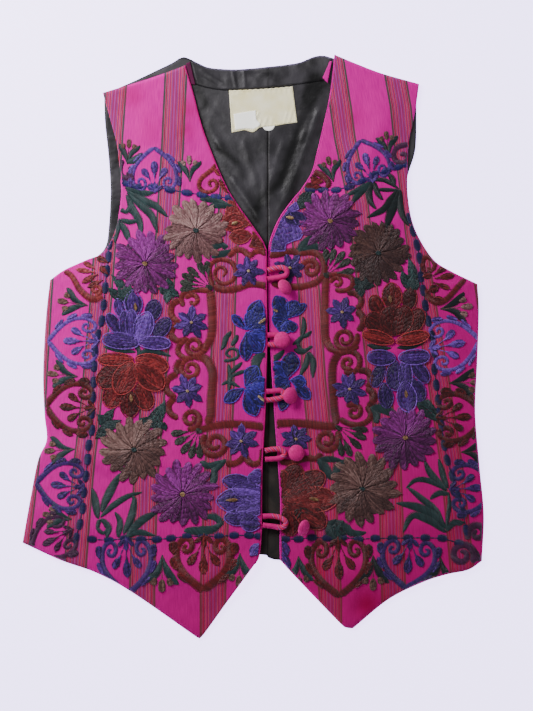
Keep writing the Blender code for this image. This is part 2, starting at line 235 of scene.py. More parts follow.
def lining_top(x, y):
    """Height of the satin, creased where it shows."""
    shows = eased((252 - y) / 8) * eased((y - 108) / 12)
    shows = shows * eased((x - centre_l(y) - 2) / 8) * eased((centre_r(y) - 2 - x) / 8)
    lift = shows * (ridges(BACK_CREASES, x, y) + 0.35 + 0.35 * ripple(x, y, 22, 4))
    slot = eased((x - centre_l(y) + 1) / 4) * eased((centre_r(y) + 1 - x) / 4) * eased((70 - y) / 30)
    return BACK_WALL + lift + slot * (0.35 + 0.3 * ripple(x * 2.2, y, 26, 9))


SHADED_FOLDS = [
    # x, y down each fold painted dark as shade, then its half width
    ([(62, 270), (54, 240), (47, 214), (36, 186), (26, 164), (12, 150), (2, 136), (-2, 118)], 8),
    ([(-54, 232), (-44, 208), (-32, 196), (-16, 184)], 5), ([(70, 262), (56, 250)], 7),
    ([(-60, 262), (-48, 240)], 6),
]


def sheen_and_shade_share(x, y):
    """Share of painted sheen on the satin: 1 on a bulge, near 0 along the folds painted dark as shade and
    close to the seam.
    """
    share = 0.78 + 0.3 * ripple(x, y, 46, 31) + 0.1 * ripple(x, y, 13, 32)
    for line, half in SHADED_FOLDS:
        line = np.array(line, float)
        along = np.interp(y, line[::-1, 1], line[::-1, 0])
        inside = eased((y - line[:, 1].min() + 10) / 12) * eased((line[:, 1].max() + 10 - y) / 12)
        share = share - 0.62 * inside * np.exp(-((x - along) / half) ** 2)
    share = share - 0.5 * np.exp(-((x - CENTRE_BACK) / 0.9) ** 2)
    # Painted shade of small cross creases where the left armhole pulls.
    share = share - eased((-116 - x) / 6) * (0.12 + 0.3 * ripple(0.4 * x, y, 6, 41))
    return np.clip(share, 0.05, 1.3)


def made_of(name, mesh, finish):
    """Puts a mesh in the scene as a smooth piece of one finish."""
    mesh.update()
    mesh.shade_smooth()
    mesh.materials.append(finish)
    made = bpy.data.objects.new(name, mesh)
    bpy.context.scene.collection.objects.link(made)
    return made


def wall(name, grid, under, over, finish, round_edge=0.45):
    """A closed cloth wall over a grid of plan points, its upper rim rounded over."""
    rows, cols = grid.shape[:2]
    x, y = grid[..., 0], grid[..., 1]
    low, high = under(x, y), over(x, y)
    rim_drop = (high - low) * round_edge
    for side in (np.s_[0], np.s_[-1], np.s_[:, 0], np.s_[:, -1]):
        high[side] = (over(x, y) - rim_drop)[side]
    points = np.concatenate([np.stack([x, y, z], 2).reshape(-1, 3) for z in (low, high)]) * MM
    cell = (np.arange(rows - 1)[:, None] * cols + np.arange(cols - 1)).ravel()
    top = rows * cols
    faces = [tuple(f) for f in np.stack([cell, cell + cols, cell + cols + 1, cell + 1], 1).tolist()]
    faces += [tuple(f) for f in (np.stack([cell, cell + 1, cell + cols + 1, cell + cols], 1) + top).tolist()]
    ring = list(range(cols)) + [j * cols + cols - 1 for j in range(1, rows)]
    ring += [(rows - 1) * cols + i for i in range(cols - 2, -1, -1)]
    ring += [j * cols for j in range(rows - 2, 0, -1)]
    for a, b in zip(ring, ring[1:] + ring[:1]):
        faces.append((a, b, b + top, a + top))
    mesh = bpy.data.meshes.new(name)
    mesh.from_pydata(points.tolist(), [], faces)
    mesh.validate()
    return made_of(name, mesh, finish)


def mark(piece, name, values, kind="FLOAT"):
    """Writes one value a point on a piece, for its material to read."""
    field = piece.data.attributes.new(name, kind, "POINT")
    key = "value" if kind == "FLOAT" else "color"
    field.data.foreach_set(key, np.asarray(values, np.float32).ravel())


black_satin, tree, shader = finish_of("black_satin", 0.46, Sheen_Weight=0.12, Sheen_Roughness=0.4,
                                      Specular_IOR_Level=0.42, Anisotropic=0.45)
shader.inputs["Sheen Tint"].default_value = (0.75, 0.75, 0.8, 1)
place = add(tree, "TexCoord")
# Floats about 1 mm wide, coarser than the real threads so that they show.
slub = add(tree, "Mapping", {"Vector": place.outputs["Object"], "Scale": (900.0, 60.0, 60.0)})
float_threads = add(tree, "TexNoise", {"Vector": slub.outputs["Vector"], "Scale": 1.0, "Detail": 3.0})
# Painted sheen and shade: its face is grey where it bulges and black down in the folds.
sheen_and_shade = add(tree, "Attribute", attribute_name="sheen_and_shade")
cloudy = add(tree, "TexNoise", {"Vector": place.outputs["Object"], "Scale": 45.0, "Detail": 5.0,
                                "Distortion": 0.6})
clouded = add(tree, "Math", {0: cloudy.outputs["Fac"], 1: sheen_and_shade.outputs["Fac"]}, operation="MULTIPLY")
tone = add(tree, "ValToRGB", {"Fac": clouded.outputs[0]}, ((0.08, "#040404"), (0.62, "#3E3C40")))
# Inside the opening the satin is browner and duller; its darker tone there is also painted shade from the
# fronts that rise over it.
dull_shade = add(tree, "Attribute", attribute_name="dull_and_shaded")
brown_tone = add(tree, "ValToRGB", {"Fac": cloudy.outputs["Fac"]}, ((0.35, "#0C0A08"), (0.68, "#2C2520")))
browned = add(tree, "Mix", {0: dull_shade.outputs["Fac"], 6: tone.outputs["Color"], 7: brown_tone.outputs["Color"]},
              data_type="RGBA")
tree.links.new(browned.outputs[2], shader.inputs["Base Color"])
gloss = add(tree, "MapRange", {"Value": dull_shade.outputs["Fac"], "To Min": 0.52, "To Max": 0.85})
tree.links.new(gloss.outputs["Result"], shader.inputs["Roughness"])
sheen_bump = add(tree, "Bump", {"Height": float_threads.outputs["Fac"], "Strength": 0.25, "Distance": 0.0002})
pucker_noise = add(tree, "TexNoise", {"Vector": place.outputs["Object"], "Scale": 120.0, "Detail": 4.0})
pucker = add(tree, "Bump", {"Height": pucker_noise.outputs["Fac"], "Strength": 0.5, "Distance": 0.0016,
                            "Normal": sheen_bump.outputs["Normal"]})
tree.links.new(pucker.outputs["Normal"], shader.inputs["Normal"])

back_left_plan = panel(
    edge(([(-230.6, -196.8), (-153, -203), (-73, -206.5), (6, -208.7), (15, -211.5)], 70)),
    edge(([(-149, 252), (-130, 260.4), (-117.3, 266), (-98.4, 275), (-80.8, 283.5), (-73.8, 288),
           (-68.9, 289.4)], 30),
         ([(-68.9, 289.4), (-64, 287.8), (-56.9, 284.2), (-46.4, 279.4), (-35.9, 277.7),
           (-18.3, 276.9), (0, 278), (15, 279.5)], 40)),
    edge((SIDE_LEFT, 80),
         ([(-203, 66), (-178, 80), (-156, 90), (-147, 101), (-144.3, 120), (-142.9, 142),
           (-142.7, 162), (-144.7, 191), (-148.2, 225), (-149, 252)], 90)),
    edge(([(CENTRE_BACK, -211.5), (CENTRE_BACK, 30), (CENTRE_BACK, 279.5)], 170)),
)
back_right_plan = panel(
    edge(([(15, -211.5), (27, -214.3), (90, -217), (150, -217.5), (229, -215)], 70)),
    edge(([(15, 279.5), (32, 281.4), (47, 284), (60.4, 289.4), (70.2, 290.7), (80, 288.2)], 30),
         ([(80, 288.2), (104, 279.5), (130, 270), (164, 260)], 40)),
    edge(([(CENTRE_BACK, -211.5), (CENTRE_BACK, 30), (CENTRE_BACK, 279.5)], 170)),
    edge((SIDE_RIGHT, 80),
         ([(224.5, 62), (196, 74), (174, 91), (157, 113), (151.5, 140), (154.3, 168),
           (161.3, 191), (163.3, 207), (163.6, 239), (164, 260)], 90)),
)
for name, plan, seam in (("back_left", back_left_plan, -1), ("back_right", back_right_plan, 1)):
    at_seam = plan[:, -1 if seam < 0 else 0]
    at_seam[:, 0] = CENTRE_BACK
    half = wall(name + "_satin", plan, lambda x, y: np.zeros(np.shape(x)), lining_top, black_satin, 0.12)
    seam_share = 0.3 * np.exp(-((plan[..., 0].ravel() - CENTRE_BACK) / 1.5) ** 2)
    mark(half, "dull_and_shaded", np.tile(np.maximum(eased((80 - plan[..., 1].ravel()) / 60), seam_share), 2))
    mark(half, "sheen_and_shade", np.tile(sheen_and_shade_share(plan[..., 0], plan[..., 1]).ravel(), 2))
    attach(half, "root")
    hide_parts(name)

# Facing: a band of the same black satin turned inside the back neck.
# Its lower seam gathers it a little, so it puckers along that line.
facing_plan = panel(
    edge(([(-56.6, 261.4), (-40, 257.4), (-25, 256.4), (7, 258), (32, 260.6), (55, 263.6), (75.6, 266.6)],
          120)),
    edge(([(-62.2, 285.6), (-56.5, 282.8), (-46.4, 278.4), (-35.9, 276.7), (-18.3, 275.9), (0, 277),
           (32, 280.4), (47, 283), (60.4, 288.4), (70.2, 289.6), (78, 288)], 120)),
    edge(([(-56.6, 261.4), (-62.2, 285.6)], 20)),
    edge(([(75.6, 266.6), (78, 288)], 20)),
)


def facing_top(x, y):
    """Height of the facing, gathered along its lower seam."""
    gathers = 0.45 * np.sin(x / 2.6 + 1.5 * np.sin(x / 11)) * eased((272 - y) / 14)
    bunch = ridges([(-21, 279, -17, 258, 2.2, 1.1), (-9, 278, -8, 258, 2, 0.8),
                    (-52, 276, -30, 262, 2.4, 0.6), (-50, 268, -34, 259, 2, 0.5)], x, y)
    return BACK_WALL + SEAM_GAP + BAND_WALL + 0.4 + gathers + bunch + 0.3 * ripple(x, y, 14, 3)


facing = wall("neck_facing_satin", facing_plan, lambda x, y: 0 * x + BACK_WALL + SEAM_GAP, facing_top,
              black_satin)
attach(facing, "root")
mark(facing, "sheen_and_shade", np.tile(sheen_and_shade_share(facing_plan[..., 0], facing_plan[..., 1]).ravel(), 2))
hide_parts("back_neck_facing")

# Fronts: hand-loomed pink cotton with warp stripe bands, interlined and lined.
# The bands fan out from the shoulders, and the heavy stitching buckles the cloth.
FOLDS = [
    # x, y, x, y of the ends, half width, height
    (-206, -92, -140, -120, 16, 2.4), (-200, -165, -120, -190, 22, 1.8), (-150, 60, -70, 20, 34, 2.2),
    (-120, -215, -30, -240, 24, 1.8), (-120, 225, -60, 150, 22, 1.6), (224, -90, 160, -66, 18, 2.4),
    (215, -165, 130, -185, 24, 1.8), (165, 60, 85, 20, 34, 2.2), (140, -215, 70, -235, 24, 1.8),
    (135, 230, 80, 140, 22, 1.6),
]
HEM_LEFT = [(-230.6, -196.8), (-193, -214), (-156.5, -227), (-121.4, -246.2), (-56, -291.6)]
HEM_LEFT_POINT = [(-56, -291.6), (-50.5, -290), (-25.7, -255.8), (2.2, -217.5)]
HEM_RIGHT = [(229, -215), (215.4, -223.9), (193, -228.7), (169.2, -236.6), (135.7, -253.4), (100, -282.5)]
HEM_RIGHT_POINT = [(100, -282.5), (94, -282), (86.3, -276.5), (44.8, -233.4), (27.3, -214.3)]
SHOULDER_LEFT = [(-150.3, 253.3), (-130, 259.6), (-109, 266), (-88, 273.2), (-68.2, 280.6)]
SHOULDER_RIGHT = [(166.2, 262.2), (130, 272.4), (104, 282.2), (81.8, 291.4)]
ARMHOLE_LEFT = [(-203, 66), (-189, 76), (-167, 86), (-150.5, 93.5), (-138.5, 114), (-132.3, 147),
                (-132.7, 168), (-136, 200.2), (-141, 220), (-150.3, 253.3)]
ARMHOLE_RIGHT = [(224.5, 62), (196, 76), (181, 86), (167.3, 106), (159, 126), (155, 150),
                 (154.5, 170), (155.9, 203), (159.5, 221), (163.1, 240), (166.2, 262.2)]
side_l, side_r = across(SIDE_LEFT + ARMHOLE_LEFT[1:]), across(SIDE_RIGHT + ARMHOLE_RIGHT[1:])
hem_l, hem_r = up(HEM_LEFT + HEM_LEFT_POINT[1:]), up(HEM_RIGHT + HEM_RIGHT_POINT[1:])
# Side, centre, hem and shoulder of the left front, then of the right one.
FRONT_EDGES = {True: (side_l, centre_l, hem_l, up(SHOULDER_LEFT)),
               False: (side_r, centre_r, hem_r, up(SHOULDER_RIGHT))}
# Each shoulder's slope, and the corner that it is measured from.
SLOPE_LEFT, SLOPE_RIGHT = 0.3325, 0.346
(ARM_X, ARM_Y), (NECK_X, NECK_Y) = SHOULDER_LEFT[0], SHOULDER_RIGHT[-1]


def front_under(left, x, y):
    """Height of a front's lining, as in the solids."""
    drop = 1.6 * eased((-226 - y) / 40)
    if left:
        body = eased((x - side_l(y)) / 38) * eased((ARM_Y + (x - ARM_X) * SLOPE_LEFT - y) / 60)
        edge_lift = 0.5 + 2.9 * eased((150 - y) / 60) - 0.9 * eased((-170 - y) / 50)
        inward = eased((centre_l(y) - x) / 45)
        hem = 0.25 + 0.75 * eased((y - hem_l(x)) / 55)
    else:
        body = eased((side_r(y) - x) / 38) * eased((NECK_Y - (x - NECK_X) * SLOPE_RIGHT - y) / 60)
        edge_lift = 0.2
        inward = eased((x - centre_r(y) - 18) / 45)
        hem = 0.25 + 0.75 * eased((y - hem_r(x)) / 55)
    puff = (1 - inward) * edge_lift + inward * hem * (3.0 + ridges(FOLDS, x, y))
    return BACK_WALL + SEAM_GAP - drop + body * puff


def front_top(left, x, y):
    """Height of a front's face, with the buckles that the stitching pulls into it."""
    side, centre, hem, shoulder = FRONT_EDGES[left]
    room = np.minimum(np.abs(x - side(y)), np.abs(x - centre(y)))
    room = np.minimum(room, np.minimum(y - hem(x), shoulder(x) - y))
    inside = eased((room - 1) / 14)
    buckle = 0.42 * ripple(x, y, 34, 11 + left) + 0.22 * ripple(x, y, 15, 21 + left)
    return front_under(left, x, y) + FRONT_WALL + inside * buckle


# Where each stripe band's middle runs, on the draft sheet: y, then x of the band
# next to the side, of the arm band, of the middle band and of the front band.
BANDS_LEFT = [(60, 58, 118, 176, 240), (150, 52, 111, 172.5, 234), (200, 48, 108, 169, 230),
              (300, 41, 101, 162.5, 224.5), (400, 36, 91, 152, 221.5), (480, 28, 82, 145, 217),
              (590, 14, 72, 142, 213)]
BANDS_RIGHT = [(57, 450, 392, 333, 276), (107, 458, 401, 340.5, 281), (140, 462, 404, 345, 287),
               (205, 470, 411, 359, 298), (290, 487, 422, 368, 309), (380, 500, 438, 379, 314),
               (470, 514, 452, 390, 323), (600, 530, 466, 393, 330.5)]
BAND_PITCH, WARP_SPAN = 60.0, 14.0
PLAIN_PINK = BAND_PITCH / 2


def loom_place(left, x, y):
    """Millimetres across the loomed width: every stripe band's middle is a whole pitch."""
    rows = np.array(BANDS_LEFT if left else BANDS_RIGHT, float)
    sheet_y, sheet_x = SHEET_Y - y, x - SHEET_X
    lines = np.array([np.interp(sheet_y, rows[:, 0], rows[:, k]) for k in range(1, 5)])
    spread = np.concatenate([2 * lines[:1] - lines[1:2], lines, 2 * lines[-1:] - lines[-2:-1]])
    if not left:
        spread = spread[::-1]
    place = np.zeros(np.shape(x))
    for k in range(len(spread) - 1):
        low, high = spread[k], spread[k + 1]
        share = np.clip((sheet_x - low) / (high - low), 0, 1)
        place = place + share * BAND_PITCH
    return place


loomed, tree, shader = finish_of("loomed_pink_cotton", 0.85, Specular_IOR_Level=0.12)
place = add(tree, "TexCoord")
loom = add(tree, "Attribute", attribute_name="loom_mm")
# Millimetres from the nearest band's middle.
shifted = add(tree, "Math", {0: loom.outputs["Fac"], 1: BAND_PITCH / 2}, operation="ADD")
wrapped = add(tree, "Math", {0: shifted.outputs[0], 1: BAND_PITCH}, operation="FLOORED_MODULO")
off = add(tree, "Math", {0: wrapped.outputs[0], 1: BAND_PITCH / 2}, operation="SUBTRACT")
away = add(tree, "Math", {0: off.outputs[0]}, operation="ABSOLUTE")
share = add(tree, "Math", {0: away.outputs[0], 1: WARP_SPAN}, operation="DIVIDE")
# Warp order out from a band's middle, start in mm and yarn colour.
WARP = [
    (0.0, "#C0489A"), (0.5, "#7A387E"), (1.1, "#D42C5C"), (1.7, "#6E3478"), (2.3, "#C44C9A"),
    (2.9, "#5E2C68"), (3.4, "#CC7AA4"), (3.8, "#E02040"), (4.5, "#74347A"), (5.1, "#C44894"),
    (5.7, "#E22440"), (6.3, "#CC7AA4"), (6.7, "#542454"), (7.3, "#C8689A"), (7.7, "#CC2040"),
    (8.3, "#542446"), (8.8, "#CC5884"), (9.4, "#4A504E"), (11.3, "#E600A4"),
]
stops = [(start / WARP_SPAN, yarn) for start, yarn in WARP]
stripes = add(tree, "ValToRGB", {"Fac": share.outputs[0]}, stops)
stripes.color_ramp.interpolation = "CONSTANT"
# Cotton yarns about 0.5 mm apart, drawn a little coarser so that they show.
warp_scale = add(tree, "Math", {0: loom.outputs["Fac"], 1: 0.9}, operation="MULTIPLY")
slub_place = add(tree, "CombineXYZ", {"X": warp_scale.outputs[0]})
along = add(tree, "SeparateXYZ", {"Vector": place.outputs["Object"]})
along_scale = add(tree, "Math", {0: along.outputs["Y"], 1: 60.0}, operation="MULTIPLY")
tree.links.new(along_scale.outputs[0], slub_place.inputs["Y"])
slubs = add(tree, "TexNoise", {"Vector": slub_place.outputs["Vector"], "Scale": 1.3, "Detail": 3.0})
slub_tone = add(tree, "ValToRGB", {"Fac": slubs.outputs["Fac"]})
slub_tone.color_ramp.elements[0].position, slub_tone.color_ramp.elements[1].position = 0.3, 0.7
slub_tone.color_ramp.elements[0].color = (0.72, 0.72, 0.76, 1)
slub_tone.color_ramp.elements[1].color = (1, 1, 1, 1)
yarned = add(tree, "Mix", {0: 1.0, 6: stripes.outputs["Color"], 7: slub_tone.outputs["Color"]},
             data_type="RGBA", blend_type="MULTIPLY")
# Painted shade: the pink is mixed towards a dark crimson at the lower right, away from the lamp, and in the
# shadow patches.
shade_attribute = add(tree, "Attribute", attribute_name="painted_shade")
shade_mixed = add(tree, "Mix", {0: shade_attribute.outputs["Fac"], 6: yarned.outputs[2], 7: (*linear("#960034"), 1)},
            data_type="RGBA", blend_type="MIX")
tree.links.new(shade_mixed.outputs[2], shader.inputs["Base Color"])


def woven_face(tree, shader, yarns_a_metre, strength, depth):
    """The small unevenness of woven yarns, as bumps on a cloth's face."""
    place = add(tree, "TexCoord")
    yarns = add(tree, "TexNoise", {"Vector": place.outputs["Object"], "Scale": yarns_a_metre, "Detail": 1.0})
    bump = add(tree, "Bump", {"Height": yarns.outputs["Fac"], "Strength": strength, "Distance": depth})
    tree.links.new(bump.outputs["Normal"], shader.inputs["Normal"])


woven_face(tree, shader, 1250.0, 0.35, 0.0004)

front_left_plan = panel(
    edge((HEM_LEFT, 70), (HEM_LEFT_POINT, 30)), edge((SHOULDER_LEFT, 100)),
    edge((SIDE_LEFT, 85), (ARMHOLE_LEFT, 85)), edge((CENTRE_LEFT, 85), (NECK_LEFT, 85)),
)
front_right_plan = panel(
    edge((HEM_RIGHT_POINT[::-1], 34), (HEM_RIGHT[::-1], 66)), edge((SHOULDER_RIGHT[::-1], 100)),
    edge((CENTRE_RIGHT, 85), (NECK_RIGHT, 85)), edge((SIDE_RIGHT, 85), (ARMHOLE_RIGHT, 85)),
)
# Painted shadows of small dimples and swells in the pink: x and y on the sheet, reach, share.
SHADOW_PATCHES = [(132, 95, 13, 0.34), (189, 109, 11, 0.4), (186, 131, 9, 0.34), (150, 130, 16, 0.16),
           (349, 118, 14, 0.16), (367, 604, 13, 0.3), (318, 572, 12, 0.2)]


def painted_shade_share(x, y):
    """Share of painted shade on the pink: more towards the lower right, away from the lamp, and in the
    painted shadow patches.
    """
    share = 0.62 * eased((x * 0.8 - y * 0.8 + 250) / 600)
    for sheet_x, sheet_y, reach, most in SHADOW_PATCHES:
        off = (x - SHEET_X - sheet_x) ** 2 + (y - SHEET_Y + sheet_y) ** 2
        share = share + most * np.exp(-off / reach ** 2)
    return np.clip(share, 0, 1)


for left, plan in ((True, front_left_plan), (False, front_right_plan)):
    name = "front_left" if left else "front_right"
    front = wall(name + "_cloth", plan, lambda x, y: front_under(left, x, y),
                 lambda x, y: front_top(left, x, y), loomed)
    x, y = plan[..., 0].ravel(), plan[..., 1].ravel()
    mark(front, "loom_mm", np.tile(loom_place(left, x, y), 2))
    mark(front, "painted_shade", np.tile(painted_shade_share(x, y), 2))
    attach(front, "root")
    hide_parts(name)

# Embroidery: thick cotton floss in satin stitch, worked through the front cloth.
# Each stitch is a rounded strand laid on the cloth, so its sheen follows its lie.
FLOSS = {
    # dark, middle and light dips of each skein
    "violet": ("#240E48", "#4C207C", "#8A56CE"),
    "indigo": ("#0A0630", "#1C1268", "#4C38C4"),
    "purple": ("#40053C", "#76126E", "#A836A6"),
    "plum": ("#2E0A28", "#4A1744", "#6A2C66"),
    "mauve": ("#5E3A3C", "#8A6060", "#B8948F"),
    "fawn": ("#422827", "#704D48", "#A07E76"),
    "brown": ("#341B1C", "#533430", "#77564C"),
    "rust": ("#3A080C", "#741A1F", "#B44444"),
    "red_brown": ("#3A050A", "#72131A", "#B8383A"),
    "navy": ("#0C0A2C", "#171450", "#2C2A74"),
    "green": ("#0A1618", "#1E3A3B", "#42635F"),
    "olive": ("#161612", "#2E322C", "#545A50"),
    "tan": ("#6A4424", "#9C7850", "#CDB48C"),
    "bud": ("#3C2420", "#66443A", "#8E6C5E"),
}
floss_mix = np.random.default_rng(7)
strands = {}


def stitch(work, points, half, rise, seat, skein, shade=0.5):
    """One strand: plan points in sheet millimetres, half width, height and seat above the cloth."""
    strands.setdefault(work, []).append((np.asarray(points, float), half, rise, seat, skein, shade))


def headings(rows):
    """Unit direction of a line at each of its points."""
    ahead = np.gradient(rows, axis=0)
    return ahead / np.maximum(np.hypot(*ahead.T), 1e-9)[:, None]


def across_shape(work, spine, halves, skein, slant, seat, dome, pitch, shade):
    """Satin stitch laid across a shape from edge to edge, square to its spine or slanted."""
    along = lengths(spine)
    count = max(2, int(along[-1] / pitch))
    at = (np.arange(count) + 0.5) * along[-1] / count
    middles = spots_at(spine, at)
    half = np.interp(at, along, halves)
    ahead = headings(middles)
    turn = math.radians(90 - slant)
    side = np.stack([ahead[:, 0] * math.cos(turn) - ahead[:, 1] * math.sin(turn),
                     ahead[:, 0] * math.sin(turn) + ahead[:, 1] * math.cos(turn)], 1)
    t = np.linspace(-1, 1, 5)[:, None]
    for k in range(count):
        if half[k] < 0.3:
            continue
        reach = half[k] / math.cos(math.radians(slant))
        line = middles[k] + t * side[k] * reach
        lift = seat + dome * (1 - t[:, 0] ** 2) * min(1.0, half[k] / 2.5)
        stitch(work, line, pitch * 0.6, 0.45, lift, skein, shade + floss_mix.uniform(-0.17, 0.17))


LONGEST_FILL, LONGEST_ROW = 5.2, 5.0


def along_shape(work, spine, halves, skein, seat, dome, pitch, shade):
    """Long and short stitches that follow a petal or leaf from its root to its tip."""
    side = headings(spine)[:, ::-1] * (-1, 1)
    lanes = max(2, int(round(2 * halves.max() / pitch)))
    for lane in range(lanes):
        t = (2 * lane + 1) / lanes - 1
        held = np.nonzero(halves >= halves.max() * abs(t) ** 1.6 * 0.72)[0]
        if len(held) < 3:
            continue
        path = (spine + side * (halves * t)[:, None])[held[0]:held[-1] + 1]
        whole = lengths(path)[-1]
        cuts = [0.0]
        reach = LONGEST_FILL * floss_mix.uniform(0.35, 1.0)
        while cuts[-1] + reach * 1.25 < whole:
            cuts.append(cuts[-1] + reach)
            reach = LONGEST_FILL * floss_mix.uniform(0.75, 1.15)
        cuts.append(whole)
        # Painted shade: lanes near a shape's edges are set darker, for the valleys between petals.
        tone = shade + floss_mix.uniform(-0.2, 0.2) - 0.3 * abs(t) ** 3
        lift = seat + dome * (1 - t * t)
        for a, b in zip(cuts, cuts[1:]):
            line = spots_at(path, np.linspace(a - 0.5 * (a > 0), b, 5))
            rows = np.full(5, lift) + floss_mix.uniform(0, 0.22)
            stitch(work, line, pitch * 0.56, 0.55, rows, skein, tone + floss_mix.uniform(-0.24, 0.24))


def outline(work, points, skein, seat, half=0.75, shade=0.8, reach=5.0):
    """Stem stitch along a shape's edge, a little lighter than its filling."""
    points = np.asarray(points, float)
    whole = lengths(points)[-1]
    count = max(1, int(whole / reach))
    for k in range(count):
        line = spots_at(points, np.linspace(k * whole / count - 0.4, (k + 1) * whole / count + 0.4, 5))
        stitch(work, line, half, 0.5, np.full(5, seat), skein, shade + floss_mix.uniform(-0.15, 0.15))


def petal(work, root, tip, wide, skein, fat=0.55, bow=0.0, seat=0.0, dome=0.8, rim=False, shade=0.5,
          blunt=0.75, pitch=1.2):
    """A petal from root to tip; fat is where it is widest, bow how far it bends sideways."""
    root, tip = np.array(root, float), np.array(tip, float)
    s = np.linspace(0, 1, 22)[:, None]
    reach = tip - root
    spine = root + s * reach + bow * np.sin(math.pi * s) * np.array([-reach[1], reach[0]])
    power = math.log(0.5) / math.log(fat)
    halves = wide / 2 * np.sin(math.pi * s[:, 0] ** power) ** blunt
    along_shape(work, spine, halves - 0.9 * rim * (halves > 1.5), skein, seat, dome, pitch, shade)
    if rim:
        side = headings(spine)[:, ::-1] * (-1, 1) * halves[:, None]
        outline(work, np.vstack([spine + side, (spine - side)[::-1]]), skein, seat + 0.55, 0.62,
                shade + 0.42, 3.4)


def pointing(angle):
    """Unit step in that direction, in radians clockwise from right on the sheet."""
    return np.array([math.cos(angle), math.sin(angle)])


def patch(work, corners, skein, angle, seat, shade, rim=True):
    """A shape filled edge to edge with rows of stitches at one angle, then rimmed with a lighter line."""
    corners, pitch = np.asarray(corners, float), 1.2
    way = pointing(math.radians(angle))
    over = np.array([-way[1], way[0]])
    u, v = corners @ way, corners @ over
    for level in np.arange(v.min() + pitch / 2, v.max(), pitch):
        ends = []
        for k in range(len(corners)):
            v0, v1, u0, u1 = v[k - 1], v[k], u[k - 1], u[k]
            if (v0 - level) * (v1 - level) < 0:
                ends.append(u0 + (u1 - u0) * (level - v0) / (v1 - v0))
        ends.sort()
        for a, b in zip(ends[::2], ends[1::2]):
            count = max(1, int(round((b - a) / (LONGEST_ROW * floss_mix.uniform(0.8, 1.2)))))
            cuts = np.linspace(a, b, count + 1)
            cuts[1:-1] += floss_mix.uniform(-1.2, 1.2, count - 1)
            for low, high in zip(cuts, cuts[1:]):
                line = np.linspace(low, high, 5)[:, None] * way + level * over
                stitch(work, line, pitch * 0.8, 0.55, np.full(5, seat + floss_mix.uniform(0, 0.25)), skein,
                       shade + floss_mix.uniform(-0.22, 0.22))
    if rim:
        outline(work, np.vstack([corners, corners[:1]]), skein, seat + 0.5, 0.62, shade + 0.4, 3.4)


BROAD_LEAF, WIDE_BAND, SPIRAL_HEART = 10.5, 5.8, 0.22


def leaf(work, rows, wide, shade=0.45, fat=0.45, blunt=0.7):
    """A green leaf along a curve: slanted satin stitch, or long and short stitches where it is broad."""
    spine = bend(rows, 24)
    s = np.linspace(0, 1, 25)
    power = math.log(0.5) / math.log(fat)
    halves = wide * 0.58 * np.maximum(np.sin(math.pi * s ** power), 0) ** blunt + 0.35
    if wide > BROAD_LEAF:
        along_shape(work, spine, halves, "green", 0.0, 0.7, 1.2, shade)
    else:
        across_shape(work, spine, halves, "green", 38, 0.0, 0.7, 1.1, shade)


def lobed(work, base, tips, wide, shade=0.45):
    """A broad leaf worked as pointed lobes that spread from one spot, each bent away from the next."""
    for k, tip in enumerate(tips):
        root = (base[0] * 1.15 - tip[0] * 0.15, base[1] * 1.15 - tip[1] * 0.15)
        petal(work, root, tip, wide * 1.15, "green", fat=0.4, bow=0.08 * (-1) ** k, seat=0.15 * k, dome=0.5,
              shade=shade + 0.08 * (-1) ** k)


def band(work, rows, wide, skein, taper=0.0, shade=0.5):
    """A scroll, bar or stem of even width, thinned towards its end by the taper; a wide one lies flatter."""
    spine = bend(rows, max(10, 5 * len(rows)))
    s = np.linspace(0, 1, len(spine))
    halves = 0.76 * wide * (1 - taper * s) * np.clip(np.minimum(s, 1 - s) * 16 + 0.45, 0, 1)
    across_shape(work, spine, halves, skein, 12, 0.0, 0.7 if wide < WIDE_BAND else 0.4, 1.0, shade)


def spiral(cx, cy, radius, start, turns, way=1):
    """Points of a spiral from its outer end inwards; angles in turns, clockwise on the sheet."""
    s = np.linspace(0, 1, int(14 * turns) + 6)
    angle = 2 * math.pi * (start + way * 0.84 * turns * s)
    reach = radius * (1 - (1 - SPIRAL_HEART) * s)
    return np.stack([cx + reach * np.cos(angle), cy + reach * np.sin(angle)], 1)


def daisy(work, cx, cy, radius, petals, turn, skein, heart, bow=0.06, shades=0.0):
    """A many-petalled flower: its petals overlap on a dark underlay, and are painted paler on the side
    towards the lamp.
    """
    centre = np.array([cx, cy], float)
    # A dark underlay of short petals: it hides the pink and is painted shade in the gaps between the petals.
    for k in range(petals):
        way = pointing(2 * math.pi * (k + turn + 0.5) / petals)
        petal(work, centre, centre + way * radius * 0.80, radius * 0.27, skein, fat=0.66, bow=bow, seat=-0.15,
              dome=0.2, shade=0.0, pitch=1.6)
    for k in list(range(0, petals, 2)) + list(range(1, petals, 2)):
        way = pointing(2 * math.pi * (k + turn + floss_mix.uniform(-0.14, 0.14)) / petals)
        reach = radius * floss_mix.uniform(0.9, 1.08)
        # Painted light: petals that point up and to the left, towards the lamp, are set paler.
        shade = 0.5 + shades - 0.2 * (way[0] * 0.5 + way[1]) + floss_mix.uniform(-0.16, 0.16)
        petal(work, centre + way * 1.5, centre + way * reach, radius * floss_mix.uniform(0.25, 0.30), skein,
              fat=0.66, bow=bow + floss_mix.uniform(-0.05, 0.05), seat=0.45 * (k % 2), dome=1.0, shade=shade,
              blunt=0.62, pitch=1.15)
    petal(work, (cx - 3, cy - 0.5), (cx + 3, cy + 0.8), 4.6, heart, seat=1.7, dome=0.5, pitch=1.1)


